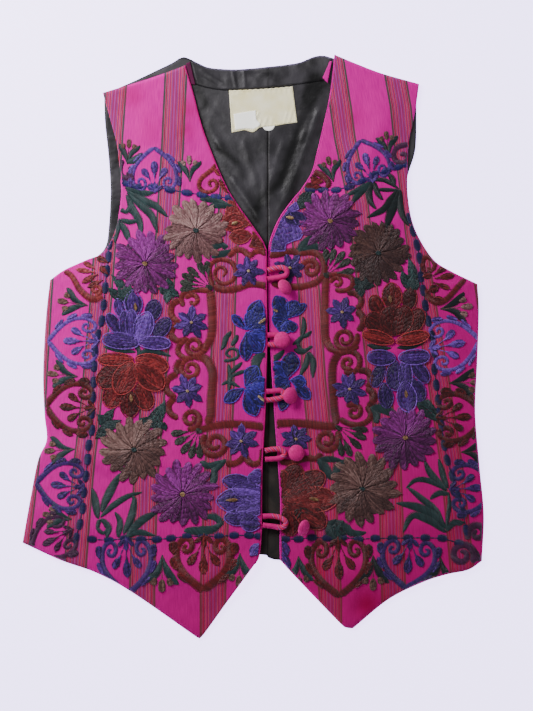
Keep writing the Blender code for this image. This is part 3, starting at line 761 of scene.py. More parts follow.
def starlet(work, cx, cy, radius, petals, turn):
    """A small violet flower with pointed petals and a pale knot."""
    centre = np.array([cx, cy], float)
    for k in range(petals):
        way = pointing(2 * math.pi * ((k + 0.5) / petals + turn))
        petal(work, centre, centre + way * radius * 0.62, radius * 0.5, "violet", fat=0.6, seat=-0.15,
              dome=0.2, shade=0.0, pitch=1.5)
    for k in range(petals):
        way = pointing(2 * math.pi * ((k + floss_mix.uniform(-0.16, 0.16)) / petals + turn))
        reach = radius * floss_mix.uniform(0.88, 1.12)
        # Painted light: petals that point up and to the left, towards the lamp, are set paler.
        petal(work, centre + way, centre + way * reach, radius * 0.46, "violet", seat=0.25 * (k % 2),
              shade=0.42 - 0.14 * (way[0] * 0.5 + way[1]), pitch=1.15)
    petal(work, (cx - 1.7, cy - 0.4), (cx + 1.7, cy + 0.4), 3, "tan", seat=1.2, dome=0.3, pitch=1.0,
          shade=0.7)


LOTUS = [
    # root across, root up, tip across, tip up, width, fullness, shade: the flower is 2 across and 1 up
    (-0.41, 0.52, -0.57, 0.87, 0.34, 0.50, 0.42), (0.38, 0.46, 0.57, 0.85, 0.48, 0.55, 0.10),
    (-0.06, 0.50, -0.13, 1.02, 0.54, 0.85, 0.45), (-0.40, 0.22, -0.87, 0.61, 0.38, 0.50, 0.28),
    (0.48, 0.16, 0.96, 0.53, 0.44, 0.50, 0.14), (-0.35, 0.18, -0.37, 0.66, 0.30, 0.50, 0.28),
    (-0.14, 0.14, -0.15, 0.68, 0.38, 0.50, 0.48), (0.04, 0.10, 0.35, 0.64, 0.58, 0.60, 0.74),
    (0.08, 0.10, -1.02, 0.18, 0.48, 0.38, 0.42), (0.04, 0.12, 1.00, 0.09, 0.38, 0.36, 0.64),
]
LOTUS_HUNG = [
    (-0.30, 0.38, -0.66, 0.87, 0.60, 0.45, 0.45), (0.17, 0.48, 0.48, 0.90, 0.54, 0.45, 0.42),
    (-0.06, 0.55, -0.05, 1.04, 0.56, 0.60, 0.18), (0.04, 0.16, -0.96, 0.50, 0.66, 0.40, 0.36),
    (0.09, 0.09, 1.02, 0.24, 0.52, 0.50, 0.66), (0.04, 0.10, -0.95, 0.10, 0.36, 0.40, 0.62),
    (0.06, 0.18, 0.88, 0.56, 0.66, 0.50, 0.48), (0.02, 0.13, -0.38, 0.66, 0.66, 0.55, 0.54),
]
LOTUS_CUP = [
    (0.42, 0.55, 0.52, 0.97, 0.46, 0.60, 0.18), (-0.35, 0.45, -0.70, 0.83, 0.50, 0.50, 0.42),
    (-0.05, 0.56, -0.09, 1.04, 0.62, 0.60, 0.40), (0.42, 0.20, 0.86, 0.61, 0.56, 0.40, 0.26),
    (-0.02, 0.20, -0.88, 0.50, 0.66, 0.35, 0.20), (0.02, 0.18, -0.14, 0.66, 0.76, 0.40, 0.12),
    (0.11, 0.20, 0.36, 0.66, 0.70, 0.45, 0.28), (0.00, 0.08, -1.00, 0.22, 0.42, 0.45, 0.68),
    (0.05, 0.08, 1.10, 0.20, 0.42, 0.45, 0.66),
]
LOTUS_BELL = [
    (-0.50, 0.25, -0.80, 0.62, 0.40, 0.35, 0.16), (-0.46, 0.55, -0.34, 0.96, 0.48, 0.55, 0.16),
    (0.46, 0.48, 0.76, 0.84, 0.52, 0.45, 0.26), (0.46, 0.20, 0.96, 0.55, 0.45, 0.45, 0.30),
    (-0.08, 0.20, -0.11, 0.68, 0.60, 0.50, 0.26), (0.24, 0.18, 0.24, 0.68, 0.44, 0.35, 0.50),
    (0.20, 0.52, 0.35, 1.02, 0.64, 0.55, 0.58), (-0.08, 0.17, -1.00, 0.14, 0.50, 0.38, 0.46),
    (0.00, 0.16, 1.02, 0.13, 0.50, 0.36, 0.56),
]


def lotus(work, cx, base_y, wide, tall, skein, seed, petals):
    """A full flower seen from the side; tall is negative where it hangs head down."""
    for k, (ax, ay, bx, by, across_share, full, shade) in enumerate(petals):
        petal(work, (cx + ax * wide / 2, base_y - ay * tall), (cx + bx * wide / 2, base_y - by * tall),
              across_share * wide / 2, skein, fat=0.54, seat=0.16 * k, rim=True, shade=shade, blunt=full)
    petal(work, (seed[0], seed[1] - 4), (seed[0] + 0.8, seed[1] + 4), 3.2, "tan", seat=1.9, dome=0.3,
          shade=0.25)


OGEE_SIDE = [(1.0, 0.0), (0.88, 0.27), (0.74, 0.54), (0.57, 0.76), (0.39, 0.87), (0.20, 0.86), (0.07, 0.75),
             (0.0, 0.56), (0.06, 0.40), (0.18, 0.37), (0.27, 0.48), (0.25, 0.63), (0.16, 0.64), (0.15, 0.53)]


def ogee(work, base, apex, wide, skein, heavy=3.4, shade=0.5):
    """A pointed heart of two scrolled arms, with three drops inside and lobes on its shoulders."""
    base, apex = np.array(base, float), np.array(apex, float)
    reach = apex - base
    side = np.array([-reach[1], reach[0]]) / np.hypot(*reach) * wide / 2

    def spot(a, b):
        """The point that share of the way up and to the side."""
        return base + a * reach + b * side

    for hand in (-1, 1):
        band(work, [spot(a, b * hand) for a, b in OGEE_SIDE], heavy, skein, taper=0.42, shade=shade)
        petal(work, spot(0.86, 0.48 * hand), spot(0.68, 0.84 * hand), heavy * 0.9, skein, shade=shade,
              blunt=0.5)
        petal(work, spot(0.62, 0.84 * hand), spot(0.38, 1.04 * hand), heavy * 1.2, skein, seat=0.1,
              shade=shade, blunt=0.5)
        petal(work, spot(0.32, 0.97 * hand), spot(0.06, 0.98 * hand), heavy * 1.5, skein, seat=0.1,
              shade=shade - 0.1, blunt=0.5)
        outline(work, [spot(0.04, 0.02 * hand), spot(0.34, 0.28 * hand)], skein, 0.0, 0.6, shade)
        petal(work, spot(0.24, 0.17 * hand), spot(0.52, 0.50 * hand), wide * 0.135, skein, fat=0.66,
              shade=shade)
        petal(work, spot(-0.06, 0.02 * hand), spot(0.10, 0.30 * hand), wide * 0.08, skein, shade=shade)
    outline(work, [spot(0.06, 0), spot(0.4, 0)], skein, 0.0, 0.6, shade)
    petal(work, spot(0.26, 0), spot(0.70, 0), wide * 0.15, skein, fat=0.66, shade=shade)
    petal(work, spot(-0.1, 0), spot(0.20, 0), wide * 0.09, skein, shade=shade)


def sprig(work, base, angle, size, bud="bud", shade=0.45):
    """Two leaves in a V with three budded stems between them; the angle is clockwise from right."""
    base, long = np.array(base, float), 1.02
    for open_by in (-30, 30):
        way = pointing(math.radians(angle + open_by))
        middle = pointing(math.radians(angle + open_by * 0.55))
        turns = [base, base + size * 0.5 * long * middle, base + size * long * way]
        leaf(work, turns, size * 0.235, shade, fat=0.66, blunt=0.8)
    for open_by, reach in ((-17, 0.98), (0, 1.16), (17, 0.98)):
        way = pointing(math.radians(angle + open_by))
        neck = base + size * 0.72 * way
        outline(work, [base, neck], bud, 0.0, 0.4, 0.45)
        petal(work, neck, base + size * reach * way, size * 0.23, bud, fat=0.6, shade=0.6, blunt=0.4)


def drops(work, base, tips, skein, wide):
    """A fan of drops on thin stems from one knot."""
    base = np.array(base, float)
    for tip in np.array(tips, float):
        petal(work, base + 0.34 * (tip - base), tip, wide, skein, fat=0.66, shade=0.55, blunt=0.8)
        outline(work, [base, base + 0.55 * (tip - base)], skein, 0.0, 0.5, 0.5)
    petal(work, base - (3, 2), base + 3, 5, skein, seat=0.3)


def lozenges(work, places, skein="navy", along=9.5, wide=8.5):
    """A row of lozenges on one running thread."""
    places = np.array(places, float)
    outline(work, places, skein, 0.05, 0.7, 0.4)
    for place, way in zip(places, headings(places)):
        spine = np.linspace(place - way * along / 2, place + way * along / 2, 9)
        halves = wide / 2 * np.sin(math.pi * np.linspace(0.04, 0.96, 9)) ** 0.28
        across_shape(work, spine, halves, skein, 0, 0.05, 0.7, 1.1, 0.45)


# Left front's stitching, from the draft sheet. Scrolls and bars come first, the
# flowers lie over them, and the neck and front edges cut what runs past them.
W = "left_scrolls"
lozenges(W, [(125, 183), (137, 187), (153, 187), (170, 190), (187, 193), (202, 195), (216, 197), (230, 198)],
         "indigo", along=10.5, wide=8)
lozenges(W, [(109, 244), (108.5, 257), (107, 271), (105.5, 288), (104, 305), (102, 321), (98, 335), (95, 351),
             (94, 366), (94, 382), (93, 397), (92, 413), (92, 430), (89, 445), (88, 459), (86, 476),
             (84, 492), (83, 508), (80, 524), (76, 538)], along=11, wide=8)
lozenges(W, [(92, 539), (109, 540), (125, 538), (141, 539), (157, 539), (171, 538), (187, 536), (203, 536),
             (219, 536), (234, 535), (249, 535), (259, 536)])
ogee(W, (155, 190), (154, 148), 50, "violet", 3.6, 0.62)
band(W, [(122, 160), (119, 168), (121, 176), (128, 178), (132, 172), (129, 167)], 5, "plum", 0.2)
petal(W, (126, 172), (134, 180), 7, "plum")
# Rust scroll beside the neck.
band(W, [(219, 162), (214, 168), (208, 173), (201, 179), (199, 186), (203, 191.5), (210, 192), (216, 188.5),
         (217, 183), (213, 180), (209, 183), (211.5, 187)], 4.2, "rust", 0.4, shade=0.6)
petal(W, (218, 179), (230, 194), 6.5, "rust", shade=0.5)
petal(W, (214, 169), (222, 176), 5.5, "rust", shade=0.6)
# Frame round the blue flowers: top box, upright bar, scallops, bottom bar.
band(W, [(213, 287), (210, 277), (210, 266), (217, 260), (226, 260), (233, 264), (236, 273), (232, 281),
         (223, 284), (216, 279), (215, 271), (221, 267), (226, 271), (223, 277)], 4.2, "rust", 0.35,
     shade=0.5)
band(W, [(229, 257), (235, 250), (244, 251), (250, 257), (254, 252), (261, 251), (266, 254)], 4.8, "rust",
     shade=0.55)
band(W, [(214, 287), (226, 290), (240, 288), (250, 284), (262, 285), (268, 287)], 5.4, "rust", shade=0.45)
band(W, [(210, 291), (212, 310), (212, 330), (209, 343), (201, 352)], 6.6, "rust", shade=0.5)
band(W, [(210, 291), (196, 290), (184, 293), (181, 300), (184, 306)], 4.4, "rust", shade=0.5)
band(W, spiral(193, 301, 7.5, 0.55, 1.15, 1), 4.5, "rust", 0.3, shade=0.6)
band(W, spiral(195, 346, 11, 0.95, 1.9, 1), 4.9, "rust", 0.35, shade=0.55)
band(W, [(180, 300), (173, 304), (171, 313), (175, 320), (180, 321)], 5.4, "rust", 0.15, shade=0.5)
band(W, [(181, 322), (174, 326), (171, 334), (177, 341), (186, 340)], 5.6, "rust", 0.15, shade=0.45)
band(W, [(188, 338), (180, 344), (178, 352), (184, 358), (194, 358)], 4.8, "rust", 0.15, shade=0.5)
band(W, [(194, 358), (203, 357), (210, 364), (213, 376), (212, 388), (211, 402), (211, 416), (207, 424)], 6.8,
     "rust", shade=0.42)
band(W, spiral(191, 369, 11, 0.72, 1.8, -1), 4.7, "rust", 0.3, shade=0.55)
band(W, spiral(191, 419, 10.5, 0.30, 1.8, -1), 4.9, "rust", 0.3, shade=0.45)
band(W, [(181, 360), (176, 367), (178, 374)], 5.6, "rust", 0.2, shade=0.4)
band(W, [(177, 374), (168, 379), (166, 388), (171, 395), (176, 396)], 5.6, "rust", 0.15, shade=0.42)
band(W, [(175, 398), (169, 404), (170, 413), (178, 418)], 5.4, "rust", 0.15, shade=0.42)
band(W, [(198, 431), (206, 428), (220, 425), (236, 424), (250, 425), (264, 427)], 6.2, "rust", shade=0.4)
band(W, spiral(215.5, 444, 14, 0.62, 1.9, -1), 5.4, "rust", 0.3, shade=0.4)
band(W, [(226, 463), (234, 464), (241, 460), (245, 454)], 5.4, "rust", 0.1, shade=0.42)
band(W, [(245, 456), (250, 463), (257, 464), (262, 459), (263, 448)], 5.0, "rust", 0.1, shade=0.42)
# Ogees along the side and the hem.
band(W, [(102, 296), (98, 299), (91, 299), (85, 294.5), (79, 288.5), (75, 281), (71, 275), (64, 271)], 5.6,
     "rust", 0.3, shade=0.6)
band(W, spiral(96, 290, 6, 0.25, 1.5, -1), 3.6, "rust", 0.3, shade=0.65)
for root, tip, wide, shade in (((95, 269), (83, 261.5), 5.5, 0.6), ((95, 272.5), (75.5, 269.5), 5.5, 0.65),
                               ((98, 274), (82, 283), 6.5, 0.55), ((103, 280), (87.5, 287.5), 6, 0.5),
                               ((109, 263), (96, 257), 7, 0.35), ((109, 275), (100, 266), 7.5, 0.3)):
    petal(W, root, tip, wide, "rust", fat=0.62, shade=shade)
ogee(W, (96, 341), (48, 341), 52, "violet", 3.6, 0.75)
ogee(W, (92, 408), (45, 406), 54, "rust", 5.4, 0.25)
ogee(W, (82, 487), (36, 483), 52, "violet", 4.4, 0.32)
ogee(W, (70, 530), (30, 552), 46, "plum", 4.6, 0.45)
ogee(W, (126, 541), (128, 594), 56, "violet", 4.8, 0.36)
ogee(W, (204, 538), (203, 590), 62, "red_brown", 6.8, 0.4)
petal(W, (261, 542), (250, 556), 11, "violet", shade=0.7)
petal(W, (263, 556), (254, 549), 7, "indigo", shade=0.5)

W = "left_leaves"
sprig(W, (127.5, 164.5), -86, 22, shade=0.3)
leaf(W, [(127, 163), (134, 160.5), (142, 153)], 7.5)
sprig(W, (190, 182), -92, 23, "mauve")
sprig(W, (88, 305.5), 189, 27)
sprig(W, (78, 376.5), 186, 27)
sprig(W, (75, 449), 176, 27)
sprig(W, (72, 519), 190, 26)
sprig(W, (162.5, 554.5), 91, 33)
sprig(W, (240, 553), 92, 30)
# Long leaves from the armhole.
leaf(W, [(125, 188), (138, 192), (150, 193), (158, 187)], 6.5)
leaf(W, [(126, 190), (142, 200), (156, 206), (168, 217)], 7.5)
leaf(W, [(127, 193), (142, 206), (152, 216), (158, 233)], 7.5)
leaf(W, [(126, 195), (133, 210), (140, 222), (142, 238)], 7.0)
leaf(W, [(132, 200), (128, 211), (118, 210)], 5.5)
leaf(W, [(120, 220), (130, 222), (140, 219)], 5.0)
leaf(W, [(119, 222), (126, 232), (131, 243)], 6.5)
leaf(W, [(118, 218), (117, 231), (115, 243)], 5.5)
leaf(W, [(200, 200), (214, 200), (228, 204)], 6.5)
leaf(W, [(206, 212), (214, 206), (226, 205), (236, 206)], 6.5)
leaf(W, [(211, 252), (218, 245), (228, 246)], 9)
leaf(W, [(212, 258), (222, 254), (231, 250)], 7)
lobed(W, (126.5, 298), [(111, 274.5), (107.5, 287), (130, 284)], 9)
lobed(W, (170, 292), [(167, 277.5), (158, 287.5), (167, 304), (179, 297)], 7.5)
leaf(W, [(104, 347), (120, 350), (136, 352)], 5)
leaf(W, [(137, 357), (146, 351), (158, 352), (171, 356)], 5)
leaf(W, [(134, 344), (139, 350), (139, 356)], 4.5)
lobed(W, (105.5, 426), [(97, 414), (115, 408), (121.5, 419.5), (95, 438)], 9)
lobed(W, (148, 424), [(165.5, 400), (139.5, 418)], 12)
lobed(W, (162, 424), [(152.5, 437), (166, 431)], 6)
drops(W, (210, 287), [(179, 290), (179, 282), (181, 274), (187, 267), (198, 261), (207, 260)], "olive", 7.4)
drops(W, (199, 430), [(170, 434), (174, 444), (181, 454), (190, 459), (200, 459)], "olive", 7.4)
# Curling stems of the blue flowers.
leaf(W, [(231, 331), (226, 338), (224, 346), (221, 350)], 5)
leaf(W, [(237, 335), (235, 341), (232, 346)], 4.5)
band(W, [(224, 361), (231, 360), (238, 357), (237, 350), (230, 349), (226, 354), (231, 357)], 3.0, "green",
     0.3)
leaf(W, [(228, 364), (230, 376), (229, 392)], 4.5)
leaf(W, [(242, 362), (235, 369), (230, 374)], 4)
leaf(W, [(247, 370), (239, 373), (231, 377)], 3.5)
leaf(W, [(222, 385), (229, 382), (240, 387)], 3.5)
leaf(W, [(265, 353), (258, 358), (257, 368), (262, 376)], 9)
leaf(W, [(262, 352), (255, 360), (255, 370)], 6)
# Leaves above and below the hem flowers.
leaf(W, [(200, 462), (210, 466), (224, 460)], 7)
leaf(W, [(213, 466), (214, 478), (211, 490)], 7)
leaf(W, [(225, 459), (217, 468), (213, 476)], 6)
leaf(W, [(184, 531), (200, 531), (214, 528), (222, 521)], 9)
leaf(W, [(204, 517), (214, 517), (221, 522), (216, 529)], 7)
leaf(W, [(102, 512), (108, 496), (116, 480), (122, 472)], 8)
leaf(W, [(101, 517), (114, 505), (128, 496), (142, 492)], 5.5)
leaf(W, [(124, 534), (131, 518), (134, 500), (131, 494)], 7)
leaf(W, [(127, 536), (142, 520), (158, 511)], 7.5)
leaf(W, [(125, 538), (138, 532), (155, 535)], 5.5)
leaf(W, [(119, 537), (120, 522), (115, 512)], 6)
leaf(W, [(101, 519), (109, 527), (107, 538)], 6)
leaf(W, [(99, 518), (96, 504), (92, 488)], 7)
band(W, [(100, 519), (98, 528), (104, 533), (108, 528), (104, 524)], 3.4, "green", 0.3)

W = "left_flowers"
daisy(W, 196, 230.5, 33, 18, 0.2, "mauve", "green")
daisy(W, 145, 263.5, 34, 17, 0.1, "purple", "tan")
daisy(W, 134, 449.5, 34, 17, 0.4, "fawn", "green", -0.06)
daisy(W, 182.6, 494, 35, 17, 0.3, "purple", "tan", -0.05)
lotus(W, 137, 349, 68, 58, "violet", (135.5, 307), LOTUS)
lotus(W, 132, 353, 72, -63, "red_brown", (131, 398), LOTUS_HUNG)
starlet(W, 191.5, 322.5, 17, 7, 0.04)
starlet(W, 187.5, 391, 17, 7, 0.10)
starlet(W, 248.5, 271, 15.5, 7, 0.02)
starlet(W, 241, 441, 17, 7, 0.05)
# Rust bloom at the neck edge: five filled shapes and an eye.
patch(W, [(228, 199), (234, 199), (242, 209), (250, 221), (254, 228), (244, 224), (233, 216), (222, 220),
          (226, 210)], "rust", 60, 0.2, 0.6, rim=False)
patch(W, [(219, 225.5), (226, 217), (235, 213), (243, 216), (250, 224), (243, 229), (234, 232), (226, 230)],
      "rust", 8, 0.3, 0.4)
patch(W, [(226, 225), (233, 219.5), (241, 222), (244, 225), (235, 228.5)], "rust", 20, 0.7, 0.5)
patch(W, [(228.5, 237), (233, 231.5), (240, 229.5), (248, 231), (252, 236), (247, 242), (240, 244.5),
          (233, 242)], "rust", 15, 0.3, 0.45)
patch(W, [(253, 231), (259, 239), (267, 250), (257, 248), (249, 247), (252, 240)], "rust", 50, 0.35, 0.3)
petal(W, (231.5, 224.5), (238, 222), 3.2, "tan", seat=1.4, shade=0.7)
# Blue flowers that face the front edge.
for root, tip, wide, shade in (((247, 330), (232, 315), 9, 0.4), ((246, 333), (246, 361), 13, 0.35),
                               ((246, 332), (262, 352), 20, 0.45), ((249, 330), (260, 300), 17, 0.5),
                               ((250, 330), (270, 316), 15, 0.4), ((247, 333), (270, 335), 17, 0.7),
                               ((247, 330), (252, 310), 11, 0.55),
                               ((245, 387), (257, 366), 16, 0.45), ((244, 388), (224, 402), 12, 0.4),
                               ((245, 389), (256, 416), 17, 0.4), ((246, 388), (268, 406), 14, 0.35),
                               ((246, 387), (270, 384), 17, 0.7), ((248, 389), (262, 398), 10, 0.6)):
    petal(W, root, tip, wide, "indigo", rim=True, shade=shade + 0.05, seat=0.3, fat=0.6, blunt=0.8)
petal(W, (258, 324), (267, 318), 3, "tan", seat=1.3, shade=0.7)
petal(W, (257, 395), (266, 402), 3, "tan", seat=1.3, shade=0.7)
# Violet flower lying on its side at the front edge.
for root, tip, wide, shade in (((262, 482), (248, 476), 16, 0.35), ((258, 486), (222, 480), 17, 0.4),
                               ((262, 524), (240, 522), 17, 0.35), ((256, 516), (224, 518), 17, 0.4),
                               ((264, 478), (252, 472), 12, 0.5), ((266, 500), (216, 501), 26, 0.5),
                               ((268, 494), (232, 488), 18, 0.75), ((268, 506), (236, 512), 16, 0.65),
                               ((270, 500), (240, 500), 14, 0.7)):
    petal(W, root, tip, wide, "violet", rim=True, shade=shade, seat=0.3, blunt=0.6)
petal(W, (226, 500), (238, 499.5), 3.4, "tan", seat=1.6, shade=0.4)

# Right front's stitching: the same sheet turned over, with its own small slips.
W = "right_scrolls"
lozenges(W, [(310, 190), (323, 190), (336, 190), (349, 187), (362, 181), (374, 174.5), (386, 171), (398, 167),
             (408, 164)], "indigo", along=10, wide=7.5)
lozenges(W, [(410, 218), (413, 231), (417, 245), (419.5, 258), (420.5, 277), (423, 290.5), (425, 305.5),
             (428, 321), (432, 336), (434, 352), (434, 369), (436, 385), (438, 400), (438.5, 413), (441, 425),
             (444, 445), (447, 460), (452, 476), (458, 496), (463, 512), (466, 530)], along=11, wide=7.5)
lozenges(W, [(285, 539), (298.5, 539), (312, 537.5), (327, 538), (342, 537), (358.5, 539), (375, 538),
             (392, 538), (408, 537.5), (425, 537.5), (442, 538), (459, 543)])
ogee(W, (372, 180), (360.5, 140.5), 48, "violet", 3.6, 0.62)
petal(W, (344, 188), (355, 185), 6.5, "violet", shade=0.3)
band(W, [(408, 144), (398, 147), (393, 154), (396, 161), (403, 163), (408, 159), (405, 154), (400, 155)], 4.4,
     "plum", 0.2, shade=0.6)
# Rust scroll beside the neck.
band(W, [(311, 173), (318, 173), (325, 178), (329, 183), (327, 188)], 5, "rust", 0.15, shade=0.45)
petal(W, (324, 182), (310, 180), 7, "rust", shade=0.7)
petal(W, (322, 187), (304, 185), 7.5, "rust", shade=0.5)
petal(W, (318, 178), (308, 176), 5, "rust", shade=0.4)
# Frame round the blue flowers.
band(W, [(266, 254), (274, 255), (284, 253), (293, 251), (301, 255)], 5.4, "rust", shade=0.4)
band(W, [(299, 254), (310, 252), (319, 255), (324, 263), (324, 273), (319, 281), (309, 285), (298, 287),
         (286, 286), (272, 284)], 5.2, "rust", shade=0.5)
band(W, spiral(311, 269, 9.5, 0.55, 1.7, 1), 4.7, "rust", 0.3, shade=0.55)
band(W, [(326, 277), (325, 296), (325, 316), (325, 334), (327, 344), (334, 350)], 6.4, "rust", shade=0.55)
band(W, [(328, 276), (338, 274), (349, 276), (353, 281), (351, 288), (343, 291), (335, 290)], 4.6, "rust",
     0.2, shade=0.5)
band(W, spiral(337, 283, 6.5, 0.5, 1.2, 1), 4.0, "rust", 0.3, shade=0.6)
band(W, [(347, 293), (355, 293), (361, 299), (360, 306), (356, 309)], 5.4, "rust", 0.15, shade=0.35)
band(W, [(356, 311), (362, 316), (363, 324), (358, 331)], 5.6, "rust", 0.15, shade=0.35)
band(W, spiral(345, 339, 12.5, 0.93, 2.0, 1), 4.9, "rust", 0.35, shade=0.5)
band(W, [(328, 347), (338, 352), (350, 351), (358, 346)], 4.6, "rust", 0.2, shade=0.5)
band(W, [(340, 353), (334, 360), (332, 376), (333, 394), (334, 410), (337, 424)], 6.6, "rust", shade=0.4)
band(W, [(338, 354), (350, 351), (359, 357), (359, 367), (352, 373), (344, 372)], 4.8, "rust", 0.15,
     shade=0.42)
band(W, spiral(348, 363, 7.0, 0.15, 1.4, 1), 4.3, "rust", 0.3, shade=0.5)
band(W, [(357, 370), (366, 371), (372, 377), (371, 384), (366, 387)], 5.4, "rust", 0.15, shade=0.35)
band(W, [(366, 388), (373, 393), (374, 400), (368, 406)], 5.6, "rust", 0.15, shade=0.35)
band(W, [(366, 406), (371, 413), (368, 421), (358, 425), (347, 423), (340, 419)], 4.8, "rust", 0.1, shade=0.4)
band(W, spiral(354, 412, 8.5, 0.6, 1.6, 1), 4.5, "rust", 0.3, shade=0.45)
band(W, [(273, 424), (290, 423), (308, 424), (324, 426), (337, 426)], 6.6, "rust", shade=0.45)
band(W, spiral(327, 440, 12.5, 0.88, 1.9, 1), 5.2, "rust", 0.3, shade=0.45)
band(W, [(280, 461), (290, 463), (300, 460), (309, 458), (316, 459), (321, 453)], 5.0, "rust", 0.1, shade=0.4)
# Ogees along the side and the hem.
band(W, [(424, 272), (422, 264), (425, 257), (432, 259), (435, 266), (431, 271), (427, 268)], 4.4, "rust",
     0.3, shade=0.4)
band(W, [(424, 290), (429, 298), (438, 303), (447, 299), (456, 289), (465, 279)], 5.0, "rust", 0.15,
     shade=0.45)
petal(W, (432, 276), (447, 266), 6, "rust", fat=0.7, shade=0.5)
petal(W, (432, 279), (455, 275), 7, "rust", fat=0.7, shade=0.55)
petal(W, (432, 282), (450, 289), 6, "rust", fat=0.7, shade=0.5)
petal(W, (422, 277), (431, 274), 8, "rust", shade=0.4)
petal(W, (427, 291), (439, 287), 9, "rust", shade=0.35)
petal(W, (432, 298), (445, 302), 8, "rust", shade=0.4)
ogee(W, (432, 348), (480, 340), 56, "violet", 3.6, 0.85)
ogee(W, (438, 418), (486, 416), 54, "rust", 5.4, 0.3)
ogee(W, (452, 489), (496, 487), 54, "violet", 4.6, 0.32)
band(W, spiral(462, 555, 13, 0.1, 1.7, -1), 5.6, "plum", 0.25, shade=0.6)
band(W, spiral(477, 533, 10, 0.4, 1.6, 1), 5.6, "plum", 0.25, shade=0.4)
petal(W, (470, 545), (480, 562), 8, "plum", shade=0.4)
ogee(W, (338, 541), (339.5, 596), 62, "red_brown", 5.6, 0.35)
ogee(W, (410, 541), (406, 588), 60, "violet", 4.8, 0.34)
petal(W, (280, 540), (288, 556), 11, "violet", shade=0.5)
petal(W, (281, 552), (290, 569), 9, "violet", shade=0.4)

W = "right_leaves"
sprig(W, (333.5, 182), -103, 23)
sprig(W, (389, 156), -98, 21.5)
sprig(W, (440, 309), -5, 28.5, "mauve", 0.05)
sprig(W, (449, 383), -1, 28, shade=0.05)
sprig(W, (461, 452), 0, 26, shade=0.05)
sprig(W, (298.5, 556), 88, 28)
sprig(W, (373, 555), 90, 31, shade=0.15)
sprig(W, (440.5, 557), 92, 28, shade=0.15)
leaf(W, [(372, 181), (362, 190), (356, 198), (352, 204)], 7.5)
leaf(W, [(370, 182), (358, 190), (344, 197)], 4.5)
leaf(W, [(372, 182), (369, 192), (371, 202), (376, 209)], 6, shade=0.15)
leaf(W, [(373, 182), (377, 192), (383, 200)], 5, shade=0.15)
leaf(W, [(372, 181), (383, 180), (392, 184), (399, 189)], 4, shade=0.25)
leaf(W, [(388, 175), (393, 180), (395, 186)], 5.5, shade=0.15)
leaf(W, [(376, 190), (387, 190), (399, 190)], 3.6, shade=0.15)
leaf(W, [(397, 190), (390, 200), (383, 210), (367, 218)], 6.5, shade=0.1)
leaf(W, [(399, 190), (394, 204), (390, 216), (386, 230)], 8.5, shade=0.1)
leaf(W, [(400, 190), (400, 204), (403, 216), (409, 226)], 6, shade=0.12)
leaf(W, [(300, 209), (304, 201), (310, 195), (315, 193)], 11)
leaf(W, [(299, 198), (306, 199), (313, 203)], 7, shade=0.3)
leaf(W, [(299, 252), (304, 244), (311, 235)], 8)
leaf(W, [(301, 251), (312, 246), (323, 247)], 9)
lobed(W, (411, 287), [(408, 257), (401.5, 270), (418, 280)], 9)
lobed(W, (361, 287), [(353.5, 277.5), (353, 287), (362, 297.5), (375, 286), (365, 276)], 8, shade=0.25)
leaf(W, [(367, 345), (378, 348), (391, 348)], 4.5, shade=0.3)
leaf(W, [(397, 348), (410, 347), (424, 342)], 4.5, shade=0.3)
leaf(W, [(370, 408), (376, 415), (378, 423)], 9)
leaf(W, [(371, 409), (384, 409), (397, 413)], 10)
leaf(W, [(416, 404), (426, 408), (437, 421)], 12)
leaf(W, [(416, 404), (426, 402), (433, 409)], 7)
drops(W, (326, 275), [(326, 248), (335, 248), (345, 251), (351, 259), (355, 270.5)], "olive", 7.0)
drops(W, (338, 427), [(368.5, 430), (367, 439), (361.5, 449), (351.5, 457), (342, 457)], "olive", 7.0)
# Curling stems of the blue flowers.
leaf(W, [(303, 336), (304, 327), (303, 317)], 4.5)
leaf(W, [(302, 338), (307, 335), (311, 331)], 4)
leaf(W, [(304, 334), (299, 340), (293, 345)], 4)
band(W, [(303, 336), (298, 342), (300, 349), (306, 350), (312, 346)], 3.2, "green", 0.2)
leaf(W, [(308, 352), (313, 362), (313, 378)], 5.5)
leaf(W, [(307, 353), (306, 364), (300, 376)], 5.5)
leaf(W, [(270, 362), (277, 357), (284, 350)], 6)
leaf(W, [(294, 350), (300, 352), (307, 351)], 4.5)
# Leaves above and below the hem flowers.
leaf(W, [(317, 459), (324, 467), (334, 479)], 10)
leaf(W, [(346, 459), (340, 466), (335, 476)], 10)
leaf(W, [(318, 460), (330, 459), (342, 460)], 6)
leaf(W, [(338, 540), (331, 534), (329, 525), (336, 519)], 9)
leaf(W, [(340, 541), (339, 529), (343, 520)], 12)
leaf(W, [(336, 521), (346, 528), (354, 533), (366, 532)], 8)
leaf(W, [(447, 490), (436, 480), (428, 470), (424, 460)], 6.5)
leaf(W, [(448, 488), (443, 476), (438, 459)], 5.5)
leaf(W, [(446, 489), (430, 481), (416, 480), (406, 488)], 5)
leaf(W, [(407, 487), (422, 499), (436, 510), (444, 525)], 5.5)
leaf(W, [(449, 493), (439, 493), (430, 499)], 5.5)
leaf(W, [(448, 492), (449, 505), (447, 520), (446, 530)], 3.6)
leaf(W, [(446, 528), (434, 514), (416, 507), (396, 503)], 8.5)
leaf(W, [(446, 532), (430, 520), (412, 516), (403, 532)], 7.5)
leaf(W, [(447, 531), (453, 523), (464, 522)], 7)

